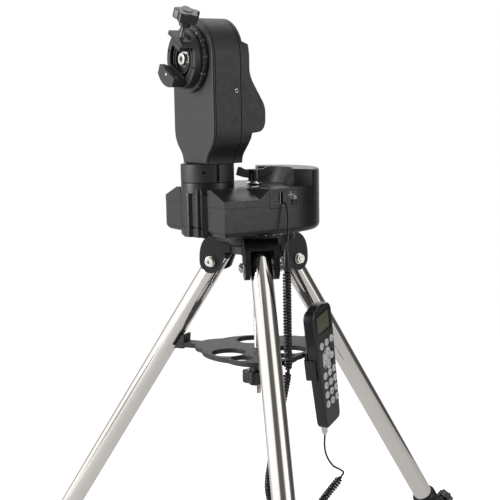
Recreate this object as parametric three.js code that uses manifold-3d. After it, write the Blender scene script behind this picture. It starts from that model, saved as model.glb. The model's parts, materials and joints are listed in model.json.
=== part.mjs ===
// Alt-azimuth telescope mount on a folding tripod, in millimetres, +Z up.
// The origin is the centre of the lower end of the tripod's centre rod, on the azimuth axis.
// The saddle faces -X, the battery drum is at +X and the control panel faces -Y.
import * as THREE from "three";
import { mergeVertices } from "three/addons/utils/BufferGeometryUtils.js";
import Module from "manifold-3d";

const wasm = await Module();
wasm.setup();

// Clearances
const GAP = 0.3;
const BIG = 400;

// Tripod
const PIVOT_HEIGHT = 203;
const PIVOT_RADIUS = 63.3;
const LEG_SPLAY = 33.42;
const LEG_DIRECTIONS = { near: -115.4, left: 124.6, right: 4.6 };
const GROUND = -404.6;
const EAR_INNER = 17;
const EAR_THICK = 8;
const EAR_RADIUS = 18;
const BOLT_RADIUS = 4;
const TUBE_RADIUS = 16;
const TUBE_BORE = 14;
const TUBE_TOP = 13;
const TUBE_BOTTOM = -562;
const CLAMP_TOP = -539;
const CLAMP_BOTTOM = -617;
const LOCK_KNOB_AT = -587;
const LOWER_TUBE_RADIUS = 12.7;
const LOWER_TUBE_BORE = 11.2;
const LOWER_TUBE_TOP = -117;
const LOWER_TUBE_BOTTOM = -669;
const FOOT_RADIUS = 14;
const FOOT_CENTRE = -713.4;
const FOOT_TOP = -649;
const HUB_TOP = 248;
const HUB_RADIUS = 60;
const SKIRT_BOTTOM = 217;
const DIAL_RADIUS = 70;
const ROD_RADIUS = 4.75;
const SHAFT_RADIUS = 10;

// Accessory tray
const TRAY_TOP = 71;
const TRAY_THICK = 7;
const TRAY_RADIUS = 84;
const TRAY_KNOB = { top: 43, bottom: 16, radius: 23 };
const EYEPIECE_LARGE = 25.5;
const EYEPIECE_SMALL = 16;
const TRAY_FRONT = { reach: 50, radius: 50 };

// Base
const BASE_FLOOR = 252;
const BASE_SEAM = 294;
const DECK = 318;
const RIM = 342;
const BASE_END = -104;
const BASE_HALF_WIDTH = 85;
const DRUM_CENTRE = 14;
const SHELL = 3;
const SWIVEL_X = -80;
const COLLAR_RADIUS = 38.6;
const WORM_WHEEL_TEETH = 30;
const GEAR_MODULE = 2;
const WORM_OFFSET = 36;
const WORM_RADIUS = 3.8;
const COLUMN_INNER = -61;
const COLUMN_HALF_WIDTH = 38.9;

// Arm and saddle
const ALTITUDE_HEIGHT = 501;
const ARM_HALF_WIDTH = 57.2;
const NECK_HALF_WIDTH = 33.5;
const NECK_BOTTOM = 353.5;
const ARM_FRONT = -101;
const ARM_SEAM_FRONT = -97;
const ARM_SEAM_REAR = -55.7;
const DISC_FACE = -119;
const JAW_FACE = -138;
const GROOVE_TILT = 28;
const CLAMP_SCREW = { x: -128, y: -5 };

// Hand controller
const HANDSET = { x: 68.8, y: -73.8, z: 48.6, length: 194, width: 60, thick: 18, facing: -63, lean: 12 };

const FINISH = {
  black_plastic: { color: 0x26262a, roughness: 0.5, metalness: 0 },
  black_paint: { color: 0x222226, roughness: 0.45, metalness: 0.1 },
  grey_plastic: { color: 0x6f6f70, roughness: 0.6, metalness: 0 },
  steel: { color: 0xc4c2be, roughness: 0.22, metalness: 1 },
  brass: { color: 0xb08d4c, roughness: 0.35, metalness: 1 },
  rubber: { color: 0x1b1b1c, roughness: 0.8, metalness: 0 },
  keys: { color: 0xc9ccca, roughness: 0.6, metalness: 0 },
  window: { color: 0x5b6150, roughness: 0.15, metalness: 0 },
  level: { color: 0xb9cf62, roughness: 0.1, metalness: 0 },
};

// ---------- solids ----------

const radians = THREE.MathUtils.degToRad;

function toSolid(geometry) {
  const bare = new THREE.BufferGeometry();
  bare.setAttribute("position", geometry.getAttribute("position"));
  if (geometry.index) bare.setIndex(geometry.index);
  const merged = mergeVertices(bare, 1e-3);
  const corners = Uint32Array.from(merged.index.array);
  const make = () =>
    new wasm.Manifold(
      new wasm.Mesh({
        numProp: 3,
        vertProperties: merged.attributes.position.array,
        triVerts: corners,
      }),
    );
  const made = make();
  if (made.volume() > 0) return made;
  for (let i = 0; i < corners.length; i += 3) {
    [corners[i + 1], corners[i + 2]] = [corners[i + 2], corners[i + 1]];
  }
  return make();
}

function toGeometry(solid) {
  const mesh = solid.getMesh();
  const geometry = new THREE.BufferGeometry();
  geometry.setAttribute("position", new THREE.BufferAttribute(mesh.vertProperties, 3));
  geometry.setIndex(new THREE.BufferAttribute(mesh.triVerts, 1));
  return geometry;
}

function join(...geometries) {
  return toGeometry(geometries.map(toSolid).reduce((all, one) => all.add(one)));
}

function cut(geometry, ...tools) {
  return toGeometry(tools.map(toSolid).reduce((left, tool) => left.subtract(tool), toSolid(geometry)));
}

function common(first, second) {
  return toGeometry(toSolid(first).intersect(toSolid(second)));
}

function box(x0, x1, y0, y1, z0, z1) {
  const geometry = new THREE.BoxGeometry(x1 - x0, y1 - y0, z1 - z0);
  return geometry.translate((x0 + x1) / 2, (y0 + y1) / 2, (z0 + z1) / 2);
}

// A cylinder, or a cone when the top radius is given, along Z.
function rod(radius, z0, z1, sides = 32, topRadius = radius) {
  const geometry = new THREE.CylinderGeometry(topRadius, radius, z1 - z0, sides);
  return geometry.rotateX(Math.PI / 2).translate(0, 0, (z0 + z1) / 2);
}

// The same along X or along Y, centred on the axis.
function rodX(radius, x0, x1, sides = 32, topRadius = radius) {
  return rod(radius, x0, x1, sides, topRadius).rotateY(Math.PI / 2);
}

function rodY(radius, y0, y1, sides = 32) {
  return rod(radius, y0, y1, sides).rotateX(-Math.PI / 2);
}

// A solid of revolution about Z from [radius, z] pairs. A profile off the axis closes on itself.
function turned(profile, sides = 32) {
  const points = profile.map(([r, z]) => new THREE.Vector2(r, z));
  const onAxis = profile[0][0] === 0;
  if (!onAxis) points.push(points[0].clone());
  return new THREE.LatheGeometry(points, sides).rotateX(Math.PI / 2);
}

function outline(points) {
  return new THREE.Shape(points.map(([a, b]) => new THREE.Vector2(a, b)));
}

// A flat shape given in X and Y, raised from z0 to z1.
function raised(shape, z0, z1, curveSegments = 8) {
  const geometry = new THREE.ExtrudeGeometry(shape, {
    depth: z1 - z0,
    bevelEnabled: false,
    curveSegments,
  });
  return geometry.translate(0, 0, z0);
}

// A flat shape given in X and Z, spread from y0 to y1.
function spreadY(shape, y0, y1, curveSegments = 8) {
  return raised(shape, -y1, -y0, curveSegments).rotateX(Math.PI / 2);
}

// A flat shape given in Y and Z, spread from x0 to x1.
function spreadX(shape, x0, x1, curveSegments = 8) {
  return raised(shape, x0, x1, curveSegments).rotateX(Math.PI / 2).rotateZ(Math.PI / 2);
}

function gearShape(teeth, module, hole) {
  const pitch = (teeth * module) / 2;
  const points = [];
  for (let i = 0; i < teeth; i++) {
    const step = (2 * Math.PI) / teeth;
    const corners = [
      [-0.36, -1.2],
      [-0.14, 0.9],
      [0.14, 0.9],
      [0.36, -1.2],
    ];
    for (const [turn, height] of corners) {
      const angle = (i + turn) * step;
      const radius = pitch + height * module;
      points.push([radius * Math.cos(angle), radius * Math.sin(angle)]);
    }
  }
  const shape = outline(points);
  shape.holes.push(new THREE.Path().absarc(0, 0, hole, 0, 2 * Math.PI, true));
  return shape;
}

function lobedShape(lobes, radius, depth) {
  const points = [];
  const steps = lobes * 6;
  for (let i = 0; i < steps; i++) {
    const angle = (2 * Math.PI * i) / steps;
    const r = radius - depth * 0.5 * (1 - Math.cos(lobes * angle));
    points.push([r * Math.cos(angle), r * Math.sin(angle)]);
  }
  return outline(points);
}

const mount = new THREE.Group();

function part(parent, name, geometry, finish) {
  const mesh = new THREE.Mesh(geometry, new THREE.MeshStandardMaterial(FINISH[finish]));
  mesh.name = name;
  parent.add(mesh);
  return mesh;
}

// ---------- tripod head ----------

function atDirection(geometry, degrees) {
  return geometry.rotateZ(radians(degrees));
}

function earShape() {
  const shape = new THREE.Shape();
  shape.moveTo(30, 244);
  shape.lineTo(60, 244);
  shape.quadraticCurveTo(PIVOT_RADIUS + EAR_RADIUS, 238, PIVOT_RADIUS + EAR_RADIUS, PIVOT_HEIGHT + 4);
  shape.absarc(PIVOT_RADIUS, PIVOT_HEIGHT, EAR_RADIUS, 0, -0.75 * Math.PI, true);
  shape.lineTo(42, PIVOT_HEIGHT + 8);
  shape.lineTo(42, SKIRT_BOTTOM);
  shape.lineTo(30, SKIRT_BOTTOM);
  return shape;
}

function tripodHead() {
  const boreBottom = 214.6;
  const boreRadius = SHAFT_RADIUS + GAP;
  const rodBore = ROD_RADIUS + GAP;
  let head = turned([
    [rodBore, 206],
    [16, 206],
    [16, SKIRT_BOTTOM],
    [38, SKIRT_BOTTOM],
    [38, 228],
    [HUB_RADIUS, 238],
    [HUB_RADIUS, HUB_TOP],
    [boreRadius, HUB_TOP],
    [boreRadius, boreBottom],
    [rodBore, boreBottom],
  ], 30);
  for (const degrees of Object.values(LEG_DIRECTIONS)) {
    const outer = EAR_INNER + EAR_THICK;
    const lug = spreadY(earShape(), -outer, outer, 4);
    head = join(head, atDirection(lug, degrees));
  }
  for (const degrees of Object.values(LEG_DIRECTIONS)) {
    const room = rodY(27, -EAR_INNER, EAR_INNER, 16).translate(PIVOT_RADIUS, 0, PIVOT_HEIGHT);
    const mouth = box(50, 100, -EAR_INNER, EAR_INNER, 170, 228);
    const bolt = rodY(BOLT_RADIUS + GAP, -40, 40, 12).translate(PIVOT_RADIUS, 0, PIVOT_HEIGHT);
    head = cut(head, ...[room, mouth, bolt].map((tool) => atDirection(tool, degrees)));
  }
  return head;
}

function azimuthShaft() {
  return turned([
    [0, 216],
    [SHAFT_RADIUS, 216],
    [SHAFT_RADIUS, 248.3],
    [22, 248.3],
    [22, 251.6],
    [SHAFT_RADIUS, 251.6],
    [SHAFT_RADIUS, 316],
    [0, 316],
  ]);
}

function azimuthDial() {
  return turned([
    [24, 248.3],
    [DIAL_RADIUS, 248.3],
    [DIAL_RADIUS, 251.7],
    [24, 251.7],
  ], 48);
}

function pivotBolt() {
  const headEnd = EAR_INNER + EAR_THICK + 6;
  const washerAt = EAR_INNER + EAR_THICK + GAP;
  return join(
    rodY(BOLT_RADIUS, -headEnd, headEnd, 12),
    rodY(7, washerAt, headEnd, 16),
    rodY(7.6, -washerAt - 5, -washerAt, 6),
  );
}

// ---------- legs: each is built with its pivot at the origin and runs down -Z ----------

function legHead() {
  const base = TUBE_TOP + GAP;
  const cap = [[16, base], [16, 17], [14, 22], [9.5, 24.5], [0, 25]];
  const plug = turned([[0, -48], [TUBE_BORE - GAP, -48], [TUBE_BORE - GAP, base], ...cap], 24);
  return cut(plug, pivotHole());
}

function pivotHole() {
  return rodY(BOLT_RADIUS + GAP, -30, 30, 12);
}

function tube(radius, bore, top, bottom) {
  return turned([[bore, bottom], [radius, bottom], [radius, top], [bore, top]], 24);
}

function legClamp() {
  const guide = LOWER_TUBE_RADIUS + GAP;
  const socket = TUBE_RADIUS + GAP;
  const body = turned([
    [guide, CLAMP_BOTTOM],
    [17, CLAMP_BOTTOM],
    [20.5, CLAMP_BOTTOM + 20],
    [20.5, CLAMP_TOP - 3],
    [18.5, CLAMP_TOP],
    [socket, CLAMP_TOP],
    [socket, TUBE_BOTTOM - GAP],
    [guide, TUBE_BOTTOM - GAP],
  ], 20);
  const lug = box(15, 28, -8, 8, LOCK_KNOB_AT - 12, LOCK_KNOB_AT + 12);
  const bore = rod(guide, CLAMP_BOTTOM - 5, TUBE_BOTTOM - GAP, 20);
  const screwHole = rodX(3.3, 5, 40, 10).translate(0, 0, LOCK_KNOB_AT);
  return cut(join(body, cut(lug, bore)), screwHole);
}

function lockKnob() {
  const screw = rodX(3, LOWER_TUBE_RADIUS + GAP, 34, 10);
  const grip = raised(lobedShape(6, 14, 4), 29, 42).rotateY(Math.PI / 2);
  return join(screw, grip).translate(0, 0, LOCK_KNOB_AT);
}

function foot() {
  const points = [
    [0, LOWER_TUBE_BOTTOM - GAP],
    [LOWER_TUBE_RADIUS + GAP, LOWER_TUBE_BOTTOM - GAP],
    [LOWER_TUBE_RADIUS + GAP, FOOT_TOP],
    [15.5, FOOT_TOP],
    [16, FOOT_CENTRE + 8],
  ];
  const arcSteps = 4;
  for (let i = 0; i <= arcSteps; i++) {
    const angle = (i / arcSteps) * (Math.PI / 2);
    points.push([FOOT_RADIUS * Math.cos(angle), FOOT_CENTRE - FOOT_RADIUS * Math.sin(angle)]);
  }
  points[points.length - 1][0] = 0;
  // The tip is cut level, so that it rests flat on the ground when the leg is splayed.
  const depth = GROUND - PIVOT_HEIGHT;
  const ground = box(-BIG, BIG, -BIG, BIG, depth - 50, depth).rotateY(radians(LEG_SPLAY));
  return cut(turned(points, 16), ground);
}

function leg(name, degrees) {
  const turn = new THREE.Group();
  turn.rotation.z = radians(degrees);
  const pivot = new THREE.Group();
  pivot.position.set(PIVOT_RADIUS, 0, PIVOT_HEIGHT);
  const splayed = new THREE.Group();
  splayed.rotation.y = -radians(LEG_SPLAY);
  mount.add(turn);
  turn.add(pivot);
  pivot.add(splayed);
  part(pivot, `pivot_bolt_${name}`, pivotBolt(), "steel");
  part(splayed, `leg_head_${name}`, legHead(), "black_plastic");
  const upper = cut(tube(TUBE_RADIUS, TUBE_BORE, TUBE_TOP, TUBE_BOTTOM), pivotHole());
  const lower = tube(LOWER_TUBE_RADIUS, LOWER_TUBE_BORE, LOWER_TUBE_TOP, LOWER_TUBE_BOTTOM);
  part(splayed, `upper_tube_${name}`, upper, "steel");
  part(splayed, `leg_clamp_${name}`, legClamp(), "black_plastic");
  part(splayed, `lock_knob_${name}`, lockKnob(), "black_plastic");
  part(splayed, `lower_tube_${name}`, lower, "steel");
  part(splayed, `foot_${name}`, foot(), "rubber");
}

// ---------- accessory tray ----------

function trayArm() {
  const arch = rod(40, TRAY_TOP - TRAY_THICK, TRAY_TOP, 24).translate(60, 0, 0);
  const bar = box(80, 124, -12, 12, TRAY_TOP - TRAY_THICK, TRAY_TOP);
  // The cup's outer face leans with the leg that rests against it.
  const cup = spreadY(outline([[119, 62], [135.5, 62], [121.5, 83], [117.5, 83]]), -12, 12);
  return join(arch, bar, cup);
}

function legSpace() {
  const space = rod(TUBE_RADIUS + 0.6, -300, 0, 16).rotateY(-radians(LEG_SPLAY));
  return space.translate(PIVOT_RADIUS, 0, PIVOT_HEIGHT);
}

function eyepieceHole(radius, reach, degrees) {
  return atDirection(rod(radius, 0, 100, 20).translate(reach, 0, 0), degrees);
}

// The tray's rim is notched where the hand controller's holder hangs.
const HOLDER_BACK = -HANDSET.thick / 2 - 5.3;

function inHandsetFrame(geometry) {
  geometry.rotateX(radians(HANDSET.lean)).rotateZ(radians(HANDSET.facing));
  return geometry.translate(HANDSET.x, HANDSET.y, HANDSET.z);
}

function accessoryTray() {
  let tray = join(
    rod(TRAY_RADIUS, TRAY_TOP - TRAY_THICK, TRAY_TOP, 40),
    rod(13, 50, TRAY_TOP - TRAY_THICK + 1, 16),
  );
  const directions = Object.values(LEG_DIRECTIONS);
  for (const degrees of directions) tray = join(tray, atDirection(trayArm(), degrees));
  const front = rod(TRAY_FRONT.radius, TRAY_TOP - TRAY_THICK, TRAY_TOP, 40);
  tray = join(tray, atDirection(front.translate(TRAY_FRONT.reach, 0, 0), LEG_DIRECTIONS.near));
  const tools = directions.map((degrees) => atDirection(legSpace(), degrees));
  for (const degrees of directions) tools.push(eyepieceHole(EYEPIECE_LARGE, 53, degrees + 60));
  tools.push(eyepieceHole(EYEPIECE_SMALL, 71, LEG_DIRECTIONS.near - 25));
  tools.push(eyepieceHole(EYEPIECE_SMALL, 71, LEG_DIRECTIONS.near + 25));
  tools.push(rod(ROD_RADIUS + GAP, 0, 100, 20));
  tools.push(inHandsetFrame(box(HOLDER_BACK - GAP, 60, -34, 34, -60, 60)));
  return cut(tray, ...tools);
}

function trayKnob() {
  const grip = raised(lobedShape(5, TRAY_KNOB.radius, 6), TRAY_KNOB.bottom, TRAY_KNOB.top - 7);
  const neck = rod(12, TRAY_KNOB.top - 8, TRAY_KNOB.top, 24);
  return cut(join(grip, neck), rod(ROD_RADIUS + GAP, 0, 60, 24));
}

// ---------- base ----------

function baseShape(inset = 0, end = BASE_END) {
  const half = BASE_HALF_WIDTH - inset;
  const shape = new THREE.Shape();
  shape.moveTo(end + inset, -half);
  shape.lineTo(DRUM_CENTRE, -half);
  shape.absarc(DRUM_CENTRE, 0, half, -Math.PI / 2, Math.PI / 2, false);
  shape.lineTo(end + inset, half);
  return shape;
}

// The space kept for the end block, which stands in a notch of both shells.
function endBlockSpace(clearance = GAP) {
  const half = COLUMN_HALF_WIDTH + clearance;
  return box(-140, COLUMN_INNER + clearance, -half, half, 200, 400);
}

function lowerShell() {
  const outer = raised(baseShape(), BASE_FLOOR, BASE_SEAM, 20);
  const inner = raised(baseShape(SHELL), BASE_FLOOR + 4, BASE_SEAM + 5, 20);
  const bearing = rod(SHAFT_RADIUS + GAP, 200, 300, 32);
  return cut(outer, inner, endBlockSpace(), bearing, jackSlot());
}

// The deck falls away to the side over these shoulders, which ramp out between two places along X.
const SHOULDER = { inner: 50, outer: 120, drop: 28, stations: [-150, -46, -34, -21, -9, 60] };

// The block that is cut away above one shoulder.
function shoulder(side) {
  const { inner, outer, drop, stations } = SHOULDER;
  const [, full, , , none] = stations;
  const steps = stations.length - 1;
  const cutter = new THREE.BoxGeometry(steps, outer - inner, 1, steps);
  cutter.translate(steps / 2, (outer + inner) / 2, 0);
  const corners = cutter.getAttribute("position");
  for (let i = 0; i < corners.count; i++) {
    const x = stations[Math.round(corners.getX(i))];
    const share = THREE.MathUtils.clamp((none - x) / (none - full), 0, 1);
    const low = corners.getY(i) > inner ? DECK - drop * share : DECK;
    corners.setXYZ(i, x, corners.getY(i), corners.getZ(i) > 0 ? BIG : low);
  }
  return side > 0 ? cutter : cutter.scale(1, -1, 1);
}

function bowl() {
  return rod(48, DECK, RIM + 10, 48, 62);
}

function frontRamp() {
  return spreadY(outline([[-200, DECK], [22, DECK], [48, RIM + 14], [-200, RIM + 14]]), -120, 120);
}

// The battery cover takes the drum's rim between these two angles about the drum's centre.
const COVER_HALF_ANGLE = 64;

function coverSector(clearance) {
  const reach = 300;
  const angle = radians(COVER_HALF_ANGLE);
  const x = DRUM_CENTRE + clearance;
  return raised(
    outline([
      [x, 0],
      [x + reach * Math.cos(angle), -reach * Math.sin(angle)],
      [x + reach, 0],
      [x + reach * Math.cos(angle), reach * Math.sin(angle)],
    ]),
    BASE_SEAM,
    RIM + 20,
  );
}

// The inner wall of the cover stands just outside the bowl's floor.
function coverSpace(clearance) {
  return cut(coverSector(clearance), rod(46 + clearance, BASE_SEAM - 10, DECK + 1, 40));
}

function deckBlock(inset) {
  const block = raised(baseShape(inset), BASE_SEAM + GAP, RIM - inset, 20);
  return cut(block, frontRamp(), bowl(), shoulder(1), shoulder(-1));
}

function deckShell() {
  const outer = deckBlock(0);
  const floor = DECK - SHELL;
  const hollow = common(
    raised(baseShape(SHELL), BASE_SEAM - 1, floor, 20),
    cut(
      raised(baseShape(-20), BASE_SEAM - 1, floor, 20),
      shoulder(1).translate(0, 0, -SHELL),
      shoulder(-1).translate(0, 0, -SHELL),
    ),
  );
  const shaftHole = rod(SHAFT_RADIUS + GAP, 280, 330, 32);
  const cover = common(raised(baseShape(-10), BASE_SEAM, RIM + 5, 8), coverSpace(-GAP));
  const levelPocket = rod(8, DECK - 1.6, DECK + 10, 24).translate(-36, -58, 0);
  return cut(outer, hollow, shaftHole, cover, endBlockSpace(), panelPocket(), levelPocket);
}

function batteryCover() {
  const block = cut(raised(baseShape(), BASE_SEAM + GAP, RIM, 20), frontRamp(), bowl());
  const inside = cut(
    raised(baseShape(SHELL), BASE_SEAM - 5, RIM - SHELL, 20),
    rod(46 + SHELL, BASE_SEAM - 10, DECK, 40),
    rod(48 + SHELL, DECK - 1, RIM + 10, 40, 62 + SHELL),
    frontRamp().translate(SHELL, 0, -SHELL),
  );
  const hollow = common(inside, coverSector(2 * SHELL).translate(0, 0, -5));
  return cut(common(block, coverSpace(0)), hollow);
}

function batteryPack() {
  const shape = new THREE.Shape();
  shape.absarc(0, 0, 52, -radians(38), radians(38), false);
  shape.absarc(DRUM_CENTRE, 0, 78, radians(40), -radians(40), true);
  return raised(shape, 258, 310, 10);
}

function endBlock() {
  const half = COLUMN_HALF_WIDTH;
  const shape = new THREE.Shape();
  shape.moveTo(COLUMN_INNER, -half);
  shape.lineTo(COLUMN_INNER, half);
  shape.lineTo(-104, half);
  shape.quadraticCurveTo(-110, 24, -112, 12);
  shape.lineTo(-118, 9);
  shape.lineTo(-118, -9);
  shape.lineTo(-112, -12);
  shape.quadraticCurveTo(-110, -24, -104, -half);
  const column = raised(shape, BASE_FLOOR - 2.5, DECK + GAP, 4);
  const collar = rod(COLLAR_RADIUS, DECK + GAP, 327, 40).translate(SWIVEL_X, 0, 0);
  const swivelHole = rod(14 + GAP, 290, 400, 24).translate(SWIVEL_X, 0, 0);
  const dialRoom = rod(DIAL_RADIUS + 1, 200, BASE_FLOOR + GAP, 48);
  return cut(join(column, collar), swivelHole, dialRoom);
}

const PANEL = { x0: -29, x1: 19, z0: 290, z1: 315 };

function panelPocket() {
  return box(PANEL.x0, PANEL.x1, -90, -BASE_HALF_WIDTH + 2, BASE_SEAM, PANEL.z1);
}

// The slot in the side wall where the control panel's jacks reach the circuit inside.
function jackSlot() {
  return box(PANEL.x0, PANEL.x1, -90, -BASE_HALF_WIDTH + 2, PANEL.z0, BASE_SEAM + 5);
}

function controlPanel() {
  const y = -BASE_HALF_WIDTH;
  const plate = box(PANEL.x0 + GAP, PANEL.x1 - GAP, y - 0.4, y + 1.7, PANEL.z0 + GAP, PANEL.z1 - GAP);
  const jack = box(-25, -12, y - 5, y + 1, 300, 312);
  const rocker = box(8, 17, -90, -BASE_HALF_WIDTH + 1.4, 293, 300);
  return cut(plate, jack, rocker);
}

function powerSwitch() {
  const y = -BASE_HALF_WIDTH;
  const dished = outline([
    [y - 2.2, 293.6],
    [y - 0.4, 296.5],
    [y - 2.2, 299.4],
    [y + 0.9, 299.4],
    [y + 0.9, 293.6],
  ]);
  return spreadX(dished, 8.4, 16.6);
}

function bubbleLevel() {
  return turned([
    [0, DECK - 1.2],
    [7.6, DECK - 1.2],
    [7.6, DECK + 1.6],
    [5, DECK + 2.6],
    [0, DECK + 2.8],
  ], 24);
}

function azimuthMotor() {
  return join(
    rodX(9.3, -58, -24, 20),
    rodX(3, -25, -17.5, 12),
  ).translate(0, WORM_OFFSET, 266);
}

function azimuthWorm() {
  return join(rodX(WORM_RADIUS, -15, 15, 20), rodX(2, -17, 20, 12)).translate(0, WORM_OFFSET, 266);
}

function wingKnob() {
  const wing = new THREE.Shape();
  wing.moveTo(-27.5, 333);
  wing.lineTo(-24, 345);
  wing.lineTo(-10, 341);
  wing.lineTo(10, 341);
  wing.lineTo(24, 345);
  wing.lineTo(27.5, 333);
  wing.lineTo(9, 328);
  wing.lineTo(-9, 328);
  const wings = spreadY(wing, -3.5, 3.5);
  const hub = rod(9, 321.5, 340, 24);
  const washer = rod(12, 319.4, 322, 24);
  return join(wings, hub, washer).rotateZ(radians(-20));
}

// ---------- arm ----------

// Half of the arm's outline seen along X, from the neck up to the top of the arch.
function armShape(inset = 0) {
  const half = ARM_HALF_WIDTH - inset;
  const neck = NECK_HALF_WIDTH - inset;
  const low = NECK_BOTTOM + inset;
  const shape = new THREE.Shape();
  shape.moveTo(-neck, low);
  shape.lineTo(neck, low);
  shape.bezierCurveTo(neck + 1, low + 22, half, low + 18, half, low + 50);
  shape.lineTo(half, ALTITUDE_HEIGHT);
  shape.absarc(0, ALTITUDE_HEIGHT, half, 0, Math.PI, false);
  shape.lineTo(-half, low + 50);
  shape.bezierCurveTo(-half, low + 18, -neck - 1, low + 22, -neck, low);
  return shape;
}

function altitudeBore(radius) {
  return rodX(radius, -200, 50, 32).translate(0, 0, ALTITUDE_HEIGHT);
}

function armFrontCover() {
  const plate = spreadX(armShape(), ARM_FRONT, ARM_SEAM_FRONT - GAP, 12);
  return cut(plate, altitudeBore(30));
}

function armBody() {
  const outer = spreadX(armShape(), ARM_SEAM_FRONT, ARM_SEAM_REAR - GAP, 12);
  const inner = spreadX(armShape(5), ARM_SEAM_FRONT + 5, ARM_SEAM_REAR + 5, 12);
  const post = rod(14 + GAP, 340, 375, 32).translate(SWIVEL_X, 0, 0);
  return cut(outer, inner, altitudeBore(14.3), post);
}

// The rear cover seen along Y: upright at the top, with a hump low down at the back.
function rearProfile(inset = 0) {
  const bottom = NECK_BOTTOM - 5 + 5 * inset;
  return outline([
    [ARM_SEAM_REAR, bottom],
    [-41 - inset, bottom],
    [-41 - inset, 368],
    [-24 - inset, 394],
    [-16 - inset, 402],
    [-15.5 - inset, 424],
    [-19 - inset, 434],
    [-38 - inset, 459],
    [-41 - inset, 472],
    [-41 - inset, 520 - inset],
    [-50, 524 - inset],
    [-50, 570 - inset],
    [ARM_SEAM_REAR, 570 - inset],
  ]);
}

function armRearCover() {
  const silhouette = spreadX(armShape(), ARM_SEAM_REAR, 0, 12);
  const outer = common(silhouette, spreadY(rearProfile(), -80, 80));
  const cavity = common(
    spreadX(armShape(4), ARM_SEAM_REAR - 5, 0, 12),
    spreadY(rearProfile(3), -80, 80),
  );
  const floor = box(-60, 0, -90, 90, 300, NECK_BOTTOM + 8);
  const mouth = box(ARM_SEAM_REAR - 6, ARM_SEAM_REAR + 0.5, -53, 53, 362, 550);
  return cut(outer, cut(cavity, floor), mouth);
}

function armCollar() {
  const ring = turned([[0, 327.3], [COLLAR_RADIUS, 327.3], [COLLAR_RADIUS, 353], [0, 353]], 48);
  const post = join(rod(14, 292, 330, 32), rod(14, 350, 372, 32));
  const grub = rodY(2.6, -60, -30, 12).translate(0, 0, 342);
  return cut(join(ring, post), grub).translate(SWIVEL_X, 0, 0);
}

function altitudeWormWheel() {
  return raised(gearShape(WORM_WHEEL_TEETH, GEAR_MODULE, SHAFT_RADIUS + GAP), 0, 8)
    .rotateY(Math.PI / 2)
    .translate(-84, 0, ALTITUDE_HEIGHT);
}

function azimuthWormWheel() {
  return raised(gearShape(WORM_WHEEL_TEETH, GEAR_MODULE, SHAFT_RADIUS + GAP), 262, 270);
}

function altitudeMotor() {
  const below = ALTITUDE_HEIGHT - WORM_OFFSET;
  return join(rodY(9.3, -50, -24, 20), rodY(3, -25, -17.5, 12)).translate(-80, 0, below);
}

function altitudeWorm() {
  const below = ALTITUDE_HEIGHT - WORM_OFFSET;
  return join(rodY(WORM_RADIUS, -15, 15, 20), rodY(2, -17, 20, 12)).translate(-80, 0, below);
}

// ---------- saddle: altitude axis along X, clamp screw along +Z ----------

function saddle() {
  const disc = rodX(41, -119, -108, 40);
  const rim = rodX(46.5, -108, -101.3, 40);
  const hub = rodX(24, -101.5, -98, 24);
  const seat = box(-121, -118, -27, 27, -15, 15);
  const fixedJaw = common(rodX(39, JAW_FACE, -118, 40), box(-140, -118, -24, 22, -60, -18));
  const screwJaw = common(rodX(41, JAW_FACE, -118, 40), box(-140, -118, -29, 17, 30, 36));
  const undercut = spreadY(outline([[-130, -17.9], [-122, -21.5], [-122, -10], [-130, -10]]), -30, 30);
  const boltPocket = rodX(12.5, -130, -112, 20);
  const boltBore = rodX(6.3, -140, -90, 16);
  const screwHole = rod(3.3, 20, 60, 12).translate(CLAMP_SCREW.x, CLAMP_SCREW.y, 0);
  const body = join(disc, rim, hub, seat, cut(fixedJaw, undercut), screwJaw);
  return cut(body, boltPocket, boltBore, screwHole);
}

function altitudeShaft() {
  return cut(rodX(SHAFT_RADIUS, -97.6, -60, 20), rodX(6.3, -120, -78, 16));
}

function saddleBolt() {
  const shank = rodX(6, -116, -79, 16);
  const head = rodX(9, -118.7, -112.6, 16);
  const washer = rodX(11.8, -113.2, -112.3, 20);
  return cut(join(shank, head, washer), rodX(4.6, -125, -115, 6));
}

function clampPad() {
  return join(
    box(-136, -122.5, -19, 9, 20, 28),
    rod(2.9, 27, 52, 16).translate(CLAMP_SCREW.x, CLAMP_SCREW.y, 0),
  );
}

function clampKnob() {
  const grip = raised(lobedShape(5, 19, 5), 61, 74, 8);
  const stem = rod(8, 52.5, 63, 24);
  const cap = rod(9, 72, 79, 24, 7);
  const knob = cut(join(grip, stem, cap), rod(3.2, 40, 60, 16));
  return knob.translate(CLAMP_SCREW.x, CLAMP_SCREW.y, 0);
}

// ---------- hand controller: built upright with its keys facing +X, centred on the origin ----------

function handsetShape(inset = 0) {
  const half = HANDSET.width / 2 - inset;
  const length = HANDSET.length / 2 - inset;
  const crown = length - 4;
  const waist = half - 2;
  const foot = half - 6;
  const shape = new THREE.Shape();
  shape.moveTo(-foot + 8, -length);
  shape.lineTo(foot - 8, -length);
  shape.quadraticCurveTo(foot, -length, foot, -length + 12);
  shape.lineTo(waist, 20);
  shape.lineTo(half, 46);
  shape.lineTo(half, crown - 13);
  shape.quadraticCurveTo(half, crown - 1, half - 14, crown);
  shape.quadraticCurveTo(0, length + 4, -half + 14, crown);
  shape.quadraticCurveTo(-half, crown - 1, -half, crown - 13);
  shape.lineTo(-half, 46);
  shape.lineTo(-waist, 20);
  shape.lineTo(-foot, -length + 12);
  shape.quadraticCurveTo(-foot, -length, -foot + 8, -length);
  return shape;
}

// Each row of keys: its height on the face, and the place of each key across it.
const KEY_ROWS = [
  [36, [-14, 2, 18]],
  [21, [2]],
  [11, [-8, 12]],
  [1, [2]],
  [-12.5, [-13, 2, 17]],
  [-28, [-13, 2, 17]],
  [-43.5, [-13, 2, 17]],
  [-59, [-13, 2, 17]],
];

function keyHoles(radius, x0, x1) {
  return KEY_ROWS.flatMap(([z, columns]) =>
    columns.map((y) => rodX(radius, x0, x1, 8).translate(0, y, z)),
  );
}

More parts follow.
